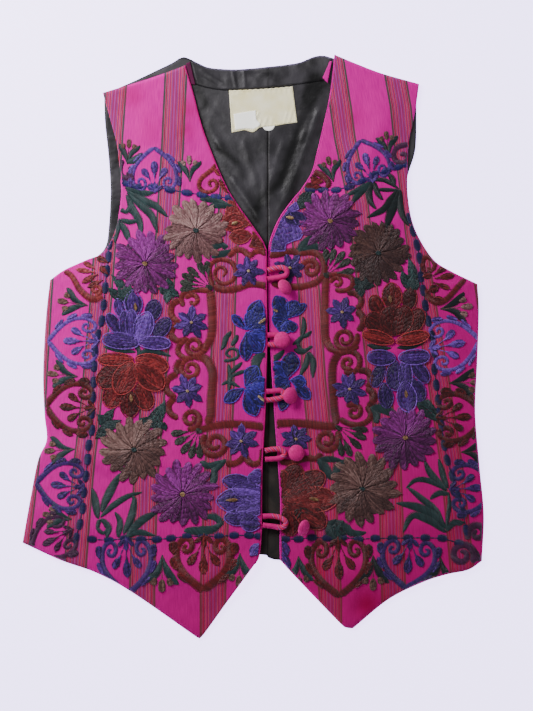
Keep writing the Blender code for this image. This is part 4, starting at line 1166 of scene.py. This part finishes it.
W = "right_flowers"
daisy(W, 330, 221, 32, 17, 0.3, "purple", "tan", -0.05)
daisy(W, 378, 253, 32, 21, 0.1, "brown", "green", 0.08, -0.12)
daisy(W, 405, 437.5, 34, 17, 0.2, "purple", "tan")
daisy(W, 362.3, 488.5, 37, 17, 0.4, "fawn", "green")
lotus(W, 394, 347, 64, 62, "red_brown", (389.5, 299), LOTUS_CUP)
lotus(W, 398, 348, 62, -63, "violet", (405.5, 394), LOTUS_BELL)
starlet(W, 290, 268, 15.5, 7, 0.55)
starlet(W, 342, 312, 16.5, 7, 0.09)
starlet(W, 349.5, 389, 17, 8, 0.04)
starlet(W, 296, 439, 16.5, 7, 0.56)
# Violet flower at the neck edge: two filled shapes with a dark one and an eye over them.
patch(W, [(296, 202), (299, 209), (290, 213), (297, 225), (300, 229), (303, 234), (300, 239), (293, 241),
          (286, 244), (285, 251), (267, 251.5), (269, 241), (274, 230), (279, 220), (286, 210)], "violet", 70,
      0.2, 0.62)
patch(W, [(270, 248), (273, 240), (281, 241), (285, 246), (284, 250)], "violet", -20, 0.55, 0.4, rim=False)
patch(W, [(284, 217), (289, 212.5), (297, 211.5), (304, 214), (306, 219), (303, 224), (295, 226), (287, 223)],
      "violet", 12, 0.6, 0.12)
petal(W, (286, 217), (294, 218.5), 3.4, "tan", seat=1.7, shade=0.7)
# Blue flowers that face the front edge.
for root, tip, wide, shade in (((288, 318), (306, 304), 9, 0.4), ((288, 318), (275, 296), 16, 0.4),
                               ((288, 317), (297, 301), 15, 0.5), ((288, 320), (272, 318), 18, 0.5),
                               ((287, 320), (281, 333), 15, 0.6), ((289, 320), (294, 332), 11, 0.4),
                               ((288, 318), (274, 306), 14, 0.35),
                               ((287, 379), (293, 352), 18, 0.4), ((288, 380), (274, 362), 17, 0.45),
                               ((290, 382), (273, 381), 17, 0.5), ((290, 380), (306, 383), 13, 0.6),
                               ((294, 382), (310, 399), 12, 0.45), ((289, 384), (281, 411), 12, 0.35),
                               ((290, 384), (276, 396), 13, 0.3)):
    petal(W, root, tip, wide, "indigo", rim=True, shade=shade + 0.05, seat=0.3, fat=0.6, blunt=0.8)
petal(W, (273, 309), (278, 312), 2.6, "tan", seat=1.3, shade=0.5)
# Rust flower lying on its side at the front edge.
for root, tip, wide, shade in (((288, 490), (298, 464), 21, 0.4), ((288, 494), (325, 474), 23, 0.45),
                               ((286, 506), (292, 536), 20, 0.35), ((292, 504), (326, 526), 24, 0.45),
                               ((282, 498), (283, 470), 15, 0.5), ((286, 500), (316, 488), 20, 0.6),
                               ((286, 502), (314, 514), 20, 0.5), ((284, 500), (338, 499), 26, 0.65),
                               ((280, 500), (304, 500), 24, 0.5)):
    petal(W, root, tip, wide, "rust", rim=True, shade=shade - 0.05, seat=0.3, blunt=0.5)
petal(W, (309, 498), (319, 500), 3.6, "tan", seat=1.6, shade=0.3)
# Dark thread ends where the two lowest buttons have been sewn on again.
for run in ([(295, 516), (298, 510), (304, 508), (309, 511)],
            [(297, 519), (300, 513), (306, 512), (309, 514)],
            [(294, 512), (299, 508), (306, 509)], [(299, 517), (301, 511), (300, 507)],
            [(293.5, 428), (292.5, 434), (295, 441)], [(297, 431), (295.5, 436), (297, 441)]):
    outline(W, run, "olive", 1.4, 0.75, 0.0)

# Sewing it on: every strand becomes a rounded ridge that follows the cloth and
# dips into it at both ends; strands are cut where they would pass an edge.
stranded, tree, shader = finish_of("stranded_cotton_floss", 0.5, Sheen_Weight=0.25, Sheen_Roughness=0.4,
                                   Specular_IOR_Level=0.4)
dip = add(tree, "Attribute", attribute_name="skein")
fuzz_place = add(tree, "TexCoord")
fuzz = add(tree, "TexNoise", {"Vector": fuzz_place.outputs["Object"], "Scale": 900.0, "Detail": 2.0})
fuzz_tone = add(tree, "ValToRGB", {"Fac": fuzz.outputs["Fac"]})
fuzz_tone.color_ramp.elements[0].color = (0.62, 0.62, 0.62, 1)
fuzz_tone.color_ramp.elements[1].color = (1, 1, 1, 1)
toned = add(tree, "Mix", {0: 1.0, 6: dip.outputs["Color"], 7: fuzz_tone.outputs["Color"]},
            data_type="RGBA", blend_type="MULTIPLY")
tree.links.new(toned.outputs[2], shader.inputs["Base Color"])


STRAND_POINTS, RIGHT_PAINTED_SHADE = 16, 0.12


def sew(work, left):
    """Builds one piece of stitching from its strands."""
    side, centre, hem, shoulder = FRONT_EDGES[left]

    def clear(x, y):
        """Which points lie far enough inside the front's four edges."""
        lows, highs = (side(y), centre(y)) if left else (centre(y), side(y))
        return (x > lows + 1.6) & (x < highs - 1.2) & (y > hem(x) + 1.4) & (y < shoulder(x) - 1.5)

    rows = strands[work]
    lines = np.array([r[0] for r in rows])
    x, y = lines[..., 0] + SHEET_X, SHEET_Y - lines[..., 1]
    kept = clear(x, y)
    fine = np.linspace(0, 4, 17)
    held, xs, ys = [], [], []
    for k in range(len(rows)):
        if kept[k].all():
            ends = (0.0, 4.0)
        elif not kept[k].any():
            continue
        else:
            fx, fy = np.interp(fine, range(5), x[k]), np.interp(fine, range(5), y[k])
            run = np.nonzero(clear(fx, fy))[0]
            if len(run) < 4:
                continue
            ends = (fine[run[0]], fine[run[-1]])
        at = np.linspace(*ends, 4)
        held.append(k)
        xs.append(np.interp(at, range(5), x[k]))
        ys.append(np.interp(at, range(5), y[k]))
    x, y = np.array(xs), np.array(ys)
    half = np.array([rows[k][1] for k in held])
    rise = np.array([rows[k][2] for k in held])
    seat = np.array([rows[k][3] for k in held])
    dips = np.array([[linear(c) for c in FLOSS[rows[k][4]]] for k in held])
    # Painted shade: the right front's floss is set darker, as that side lies further from the lamp.
    shade = np.clip(np.array([rows[k][5] for k in held]) - (0.0 if left else RIGHT_PAINTED_SHADE), 0, 1)[:, None]
    colour = np.where(shade < 0.5, dips[:, 0] + (dips[:, 1] - dips[:, 0]) * shade * 2,
                      dips[:, 1] + (dips[:, 2] - dips[:, 1]) * (shade * 2 - 1))
    dx, dy = np.gradient(x, axis=1), np.gradient(y, axis=1)
    long = np.maximum(np.hypot(dx, dy), 1e-6)
    nx, ny = -dy / long, dx / long
    taper = np.array([0.5, 1.0, 1.0, 0.5])
    sink = np.array([-0.35, 0.0, 0.0, -0.35])
    points = []
    for off, height in ((-1.0, -0.15), (-0.42, 0.95), (0.42, 0.95), (1.0, -0.15)):
        px = x + nx * off * half[:, None] * taper
        py = y + ny * off * half[:, None] * taper
        pz = front_top(left, px, py) + seat[:, [0, 1, 3, 4]] + height * rise[:, None] + sink
        points.append(np.stack([px, py, pz], 2))
    points = np.stack(points, 2) * MM
    count = len(held)
    firsts = np.arange(count) * STRAND_POINTS
    start = (firsts[:, None, None] + 4 * np.arange(3)[:, None] + np.arange(3)).ravel()
    faces = np.stack([start, start + 4, start + 5, start + 1], 1)
    mesh = bpy.data.meshes.new(work)
    mesh.vertices.add(count * STRAND_POINTS)
    mesh.vertices.foreach_set("co", points.reshape(-1).astype(np.float32))
    mesh.loops.add(len(faces) * 4)
    mesh.loops.foreach_set("vertex_index", faces.ravel().astype(np.int32))
    mesh.polygons.add(len(faces))
    mesh.polygons.foreach_set("loop_start", (np.arange(len(faces)) * 4).astype(np.int32))
    mesh.update(calc_edges=True)
    mesh.validate()
    if mesh.polygons[0].normal.z < 0:
        mesh.flip_normals()
    piece = made_of(work, mesh, stranded)
    colour = np.concatenate([colour, np.ones((count, 1))], 1)
    mark(piece, "skein", np.repeat(colour, STRAND_POINTS, axis=0), "FLOAT_COLOR")
    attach(piece, "root")
    return piece


trims = {True: [], False: []}
for work in strands:
    left = work.startswith("left")
    trims[left].append(sew(work, left))

# Edges: the front cloth is rolled over at the opening, a thin roll down each edge.
# The left roll's pink is mixed darker as painted shade, so it reads as a darker line; the right one stays
# lighter.


def tube(name, path, radii, finish, sides):
    """A round tube along a path in millimetres; also gives each point's place along and round it."""
    ahead = np.gradient(path, axis=0)
    ahead /= np.linalg.norm(ahead, axis=1)[:, None]
    side = np.cross(ahead, (0, 0, 1))
    side /= np.linalg.norm(side, axis=1)[:, None]
    top = np.cross(side, ahead)
    turns = np.linspace(-math.pi / 2, 1.5 * math.pi, sides, endpoint=False)
    spokes = np.cos(turns)[None, :, None] * side[:, None] + np.sin(turns)[None, :, None] * top[:, None]
    points = path[:, None] + np.asarray(radii)[:, None, None] * spokes
    faces = [list(range(sides))[::-1], [(len(path) - 1) * sides + k for k in range(sides)]]
    for j in range(len(path) - 1):
        for k in range(sides):
            a, b = j * sides + k, j * sides + (k + 1) % sides
            faces.append((a, b, b + sides, a + sides))
    mesh = bpy.data.meshes.new(name)
    mesh.from_pydata((points.reshape(-1, 3) * MM).tolist(), [], faces)
    made = made_of(name, mesh, finish)
    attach(made, "root")
    along = np.concatenate([[0], np.cumsum(np.linalg.norm(np.diff(path, axis=0), axis=1))])
    return made, np.repeat(along, sides), np.tile(turns, len(path))


ROLL_RADIUS, ROLL_INSET, ROLL_DEPTH, ROLL_SIDES, LEFT_ROLL_SHADE = 0.85, 0.35, 0.75, 10, 0.55
for left, centre, neck in ((True, CENTRE_LEFT, NECK_LEFT), (False, CENTRE_RIGHT, NECK_RIGHT)):
    line = edge((centre, 150), (neck, 110))
    inset = -ROLL_INSET if left else ROLL_INSET
    x, y = line[:, 0] + inset, line[:, 1]
    path = np.stack([x, y, front_under(left, x, y) + FRONT_WALL - ROLL_DEPTH], 1)
    name = "edge_roll_left" if left else "edge_roll_right"
    roll, along, turns = tube(name, path, np.full(len(path), ROLL_RADIUS), loomed, ROLL_SIDES)
    mark(roll, "loom_mm", np.full(len(along), PLAIN_PINK))
    mark(roll, "painted_shade", np.full(len(along), LEFT_ROLL_SHADE if left else 0.0))
    trims[left].append(roll)

# Front facings: the fronts' own cloth turned in at the neck, a sliver on the left set on
# a dark warp stripe as painted shade, and a bright flap standing off the collar band on the right.
FACING_PLANS = (
    # name, inner edge, outer edge, height, place across the loom, share of painted shade
    ("front_facing_left", [(-61.9, 261.6), (-57.5, 261.4)], [(-67.3, 282.6), (-62.9, 284.6)],
     1.8, 8.55, 0.1),
    ("front_facing_right", [(69.6, 268.2), (74.8, 262.8)], [(76.8, 285), (78.8, 284.6)],
     3.1, PLAIN_PINK, 0.05),
)
for name, low, high, floor, loom_mm, shade_share in FACING_PLANS:
    ends = edge(([low[0], high[0]], 24)), edge(([low[1], high[1]], 24))
    plan = panel(edge((low, 8)), edge((high, 8)), *ends)
    turned_in = wall(name + "_cloth", plan, lambda x, y: 0 * x + floor,
                     lambda x, y: floor + BAND_WALL + 0.12 * ripple(x, y, 9, 5), loomed)
    mark(turned_in, "loom_mm", np.full(len(turned_in.data.vertices), loom_mm))
    mark(turned_in, "painted_shade", np.full(len(turned_in.data.vertices), shade_share))
    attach(turned_in, "root")
    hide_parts(name)
    trims[name.endswith("left")].append(turned_in)

# Label: cream woven cotton, left blank, sewn down with a fine zigzag that puckers
# its top edge; a folded white tab lies over its lower left and a scrap shows below.
# Both cloths are given a faint glow, painted light that makes them brighter than the lamps alone would.
label_cotton, tree, shader = finish_of("cream_label_cotton", 0.8, Sheen_Weight=0.1, Specular_IOR_Level=0.25,
                                       Emission_Strength=0.22)
shader.inputs["Emission Color"].default_value = (1.0, 0.93, 0.6, 1)
place = add(tree, "TexCoord")
label_cloud = add(tree, "TexNoise", {"Vector": place.outputs["Object"], "Scale": 70.0, "Detail": 3.0})
label_tone = add(tree, "ValToRGB", {"Fac": label_cloud.outputs["Fac"]}, ((0.3, "#EDE4AC"), (0.65, "#FBF6D4")))
tree.links.new(label_tone.outputs["Color"], shader.inputs["Base Color"])
woven_face(tree, shader, 1500.0, 0.4, 0.0003)
# The tape's glow is painted light as well.
tab_tape, tree, shader = finish_of("white_cotton_tape", 0.75, Sheen_Weight=0.1, Specular_IOR_Level=0.3,
                                   Emission_Strength=0.6)
place = add(tree, "TexCoord")
tape_ribs = add(tree, "TexWave", {"Vector": place.outputs["Object"], "Scale": 300.0, "Distortion": 0.6})
tape_tone = add(tree, "ValToRGB", {"Fac": tape_ribs.outputs["Fac"]}, ((0, "#E6E6DA"), (1, "#F8F8F0")))
tree.links.new(tape_tone.outputs["Color"], shader.inputs["Base Color"])
LABEL_CREASES = [
    # x, y, x, y of the ends, half width, height
    (36, 224, 40, 238, 2.0, 0.55), (31, 223, 34, 234, 1.8, 0.4), (10, 218, 14, 228, 2.0, 0.5),
    (4, 216, 8, 226, 1.6, 0.5), (18, 219, 19, 227, 1.8, 0.35), (40, 246, 36, 256, 2.0, 0.3),
    (-22, 250, -10, 254, 2.4, 0.3), (2, 226, 6, 234, 1.8, 0.6),
]
PUCKER_PITCH, LABEL_LOWEST = 5.2, 2.75
label_plan = panel(
    edge(([(-21.2, 213.6), (-14, 215), (-8, 216), (0, 214), (7, 218.6), (14, 219.4), (22, 220.3),
           (34, 222.4), (44.2, 223.7)], 110)),
    edge(([(-24, 255.4), (-8, 256), (8, 256.8), (24, 258), (39.7, 259.4)], 110)),
    edge(([(-21.2, 213.6), (-24, 255.4)], 60)),
    edge(([(44.2, 223.7), (39.7, 259.4)], 60)),
)
scallop = np.abs(np.sin(label_plan[..., 0] * math.pi / PUCKER_PITCH))
label_plan[..., 1] += 0.55 * scallop * eased((label_plan[..., 1] - 249) / 6)


def label_top(x, y):
    """Height of the label's face, creased and puckered along its stitching."""
    puckers = 0.16 * np.sin(x * 2 * math.pi / PUCKER_PITCH) * eased((y - 251) / 5)
    creases = ridges(LABEL_CREASES, x, y) + puckers + 0.08 * ripple(x, y, 16, 8)
    return np.maximum(LABEL_LOWEST, lining_top(x, y) + 0.8) + creases


label = wall("label_cotton", label_plan, lambda x, y: lining_top(x, y) + 0.15, label_top, label_cotton)
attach(label, "root")
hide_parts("label")
# Zigzag of cream thread just inside the label's edge.
ring = np.vstack([label_plan[2, 2:-2], label_plan[2:-2, -3], label_plan[-3, -3:2:-1], label_plan[-3:2:-1, 2]])
ZIG_STEP, ZIG_HALF, THREAD_RADIUS = 0.9, 0.55, 0.2
whole = lengths(ring)[-1]
count = int(whole / ZIG_STEP)
row = spots_at(ring, np.arange(count) * whole / count)
away = row - label_plan.mean((0, 1))
away /= np.hypot(*away.T)[:, None]
x, y = (row + away * np.where(np.arange(count) % 2, ZIG_HALF, -ZIG_HALF)[:, None]).T
path = np.stack([x, y, label_top(x, y) + 0.12], 1)
zigzag = tube("label_zigzag", path, np.full(count, THREAD_RADIUS), label_cotton, 6)[0]
# The tab is a folded tape; the scrap is the end of one, caught under the label.
tab_plan = panel(
    edge(([(-17.6, 216.2), (-8, 217.6), (0.6, 217)], 30)),
    edge(([(-19.4, 232), (-8, 234), (2.7, 235.7)], 30)),
    edge(([(-17.6, 216.2), (-19.4, 232)], 24)),
    edge(([(0.6, 217), (7.2, 221.4), (3.4, 227), (2.7, 235.7)], 24)),
)
scrap_plan = panel(
    edge(([(9.8, 219.2), (11.5, 216.8), (15.5, 215.4), (19.5, 216.6), (21.8, 220.2)], 16)),
    edge(([(9.8, 220.6), (21.8, 221.6)], 16)),
    edge(([(9.8, 219.2), (9.8, 220.6)], 4)),
    edge(([(21.8, 220.2), (21.8, 221.6)], 4)),
)
tab = wall("care_tab_tape", tab_plan, lambda x, y: label_top(x, y) + 0.05,
           lambda x, y: label_top(x, y) + 0.9 + 0.7 * eased((x + 2) / 8), tab_tape)
scrap = wall("tape_scrap", scrap_plan, lambda x, y: lining_top(x, y) + 0.1,
             lambda x, y: lining_top(x, y) + 0.75, tab_tape)
for piece in (tab, scrap):
    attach(piece, "root")
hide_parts("care_tab")

# Loops: five tubes of bias-cut striped cloth, their ends sewn behind the left edge.
# The stripes wind round each tube, with plain pink where the strip had none.
bias_cloth, tree, shader = finish_of("bias_striped_cotton", 0.8, Sheen_Weight=0.1, Specular_IOR_Level=0.25)
bias = add(tree, "Attribute", attribute_name="bias_mm")
BIAS_REPEAT, BIAS_RISE = 5.0, 10.0
repeat = add(tree, "Math", {0: bias.outputs["Fac"], 1: BIAS_REPEAT}, operation="FLOORED_MODULO")
share = add(tree, "Math", {0: repeat.outputs[0], 1: BIAS_REPEAT}, operation="DIVIDE")
# Share of the repeat where each yarn starts, and its colour.
BIAS_YARNS = [(0, "#E0203C"), (0.16, "#DC1878"), (0.32, "#4E3C5C"), (0.44, "#DC2C48"), (0.58, "#C85AA8"),
              (0.72, "#6A2468"), (0.84, "#DA0C68")]
bias_yarns = add(tree, "ValToRGB", {"Fac": share.outputs[0]}, BIAS_YARNS)
bias_yarns.color_ramp.interpolation = "CONSTANT"
plain = add(tree, "Attribute", attribute_name="plain_share")
step_plain = add(tree, "Math", {0: plain.outputs["Fac"], 1: 0.5}, operation="GREATER_THAN")
cloth_tone = add(tree, "Mix", {0: step_plain.outputs[0], 6: bias_yarns.outputs["Color"],
                               7: (*linear("#C40070"), 1)}, data_type="RGBA")
tree.links.new(cloth_tone.outputs[2], shader.inputs["Base Color"])
woven_face(tree, shader, 1300.0, 0.4, 0.0004)
LOOP_RADIUS, LOOP_Z, LOOP_SIDES = 2.65, 6.6, 24
LOOPS = {
    # route along the tube, rise of its tip, share of the length that is striped
    "loop_1": ([(14.6, 75.6), (22, 77.6), (29, 78.2), (33.6, 75.6), (33.2, 71.2), (28, 69),
                (14.6, 66.8)], 2.6, (0.0, 0.42)),
    "loop_2": ([(14.6, 10.9), (22, 11), (29.5, 10.6), (34.4, 6.2), (29.5, 1.6), (22, 1.2),
                (14.6, 1.6)], 0.0, (0.52, 1.0)),
    "loop_3": ([(13.4, -45.4), (20, -45), (27.5, -44.6), (31.2, -48.8), (27.3, -52), (20, -53.4),
                (13.4, -54.2)], 0.4, (0.40, 1.0)),
    "loop_4": ([(11.9, -104.6), (19, -103.2), (27, -103.2), (32, -107.4), (27.8, -111.6), (20, -112.8),
                (11.9, -113.3)], 0.6, (0.0, 0.62)),
    "loop_5": ([(9.7, -170.2), (18, -169.8), (27, -171.4), (33, -176.2), (29, -181.2), (19, -180),
                (9.7, -179)], 0.6, (0.18, 0.72)),
}
for name, (rows, rise, striped) in LOOPS.items():
    line = bend(rows, 72)
    s = np.linspace(0, 1, len(line))
    path = np.column_stack([line, LOOP_Z + rise * np.sin(math.pi * s) ** 2])
    radii = LOOP_RADIUS * (1 + 0.035 * np.sin(s * 46) + 0.02 * np.sin(s * 17 + 2))
    loop, along, turns = tube(name + "_bias_tube", path, radii, bias_cloth, LOOP_SIDES)
    mark(loop, "bias_mm", along + BIAS_RISE * (turns / (2 * math.pi)))
    share = np.repeat(s, LOOP_SIDES)
    mark(loop, "plain_share", ((share < striped[0]) | (share > striped[1])).astype(float))
    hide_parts(name)

# Buttons: half-ball moulds covered in plain pink cloth, gathered underneath and
# sewn on by a wound thread shank; each lies tipped as its shank has set.
button_cloth, tree, shader = finish_of("covered_button_cotton", 0.72, Sheen_Weight=0.12,
                                       Specular_IOR_Level=0.3)
place = add(tree, "TexCoord")
button_slub = add(tree, "TexNoise", {"Vector": place.outputs["Object"], "Scale": 500.0, "Detail": 2.0})
button_tone = add(tree, "ValToRGB", {"Fac": button_slub.outputs["Fac"]}, ((0.3, "#BE006C"), (0.7, "#DC0084")))
tree.links.new(button_tone.outputs["Color"], shader.inputs["Base Color"])
woven_face(tree, shader, 1400.0, 0.45, 0.0004)
# Radius and height up the profile, from the crown over the rim to the shank.
PROFILE = [(0.0, 9.4), (2.4, 9.2), (4.8, 8.6), (6.7, 7.6), (7.9, 6.3), (8.25, 5.0), (7.8, 4.0), (6.4, 3.4),
           (1.9, 3.1), (1.7, 0.4), (1.4, 0.0), (0.0, 0.0)]
BUTTONS = {
    # x, y, lift off the right front, tip about Y, tip about X
    "button_1": (32.4, 59.2, 0.3, 44, -26),
    "button_2": (29.0, 6.0, 1.6, 0, 0),
    "button_3": (37.8, -49.6, 0.3, 33, 0),
    "button_4": (43.7, -106.7, 0.3, 16, -6),
    "button_5": (51.4, -181.5, 0.3, 54, 14),
}
BUTTON_SIDES, DISC_HEIGHT, BUTTON_RADIUS = 56, 6.2, 8
spin = np.linspace(0, 2 * math.pi, BUTTON_SIDES, endpoint=False)
dome = bend(PROFILE[:8], 34)
foot = np.array(PROFILE[8:-1])
profile = np.vstack([dome[1:], foot])
gather = 0.012 * np.clip((5.0 - profile[:, 1]) / 1.6, 0, 1) * (profile[:, 0] > 3)
rounds = profile[:, :1] * (1 + gather[:, None] * 4 * np.sin(13 * spin)[None, :])
heights = np.repeat(profile[:, 1:], BUTTON_SIDES, 1)
button_points = np.stack([rounds * np.cos(spin), rounds * np.sin(spin), heights], 2)
around = np.linspace(0, 2 * math.pi, 20, endpoint=False)
hull = np.array([(r * math.cos(a), r * math.sin(a), z) for r, z in PROFILE for a in around])
for name, (bx, by, lift, tip_y, tip_x) in BUTTONS.items():
    ay, ax = math.radians(tip_y), math.radians(tip_x)
    about_x = np.array([[1, 0, 0], [0, math.cos(ax), -math.sin(ax)], [0, math.sin(ax), math.cos(ax)]])
    about_y = np.array([[math.cos(ay), 0, math.sin(ay)], [0, 1, 0], [-math.sin(ay), 0, math.cos(ay)]])
    turn = about_y @ about_x
    disc = turn @ (0, 0, DISC_HEIGHT)
    # It stands on the highest cloth under it, as deep as its lowest point reaches.
    rim = (-(hull @ turn.T - disc)[:, 2]).max()
    near = np.array([-BUTTON_RADIUS, 0, BUTTON_RADIUS])
    near_x, near_y = np.meshgrid(bx + near, by + near)
    height = front_under(False, near_x, near_y).max() + FRONT_WALL + lift + rim
    crown, heel = turn @ (0, 0, PROFILE[0][1]), turn @ (0, 0, 0)
    rings = button_points.reshape(-1, 3) @ turn.T
    points = np.vstack([rings, crown, heel]) - disc + (bx, by, height)
    sides, levels = BUTTON_SIDES, len(profile)
    last = (levels - 1) * sides
    steps = [(k, (k + 1) % sides) for k in range(sides)]
    faces = [(levels * sides, b, a) for a, b in steps]
    faces += [(last + a, last + b, levels * sides + 1) for a, b in steps]
    faces += [(j * sides + a, j * sides + b, (j + 1) * sides + b, (j + 1) * sides + a)
              for j in range(levels - 1) for a, b in steps]
    mesh = bpy.data.meshes.new(name + "_covered")
    mesh.from_pydata((points * MM).tolist(), [], faces)
    mesh.flip_normals()
    covered = made_of(name + "_covered", mesh, button_cloth)
    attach(covered, "root")
    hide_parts(name)
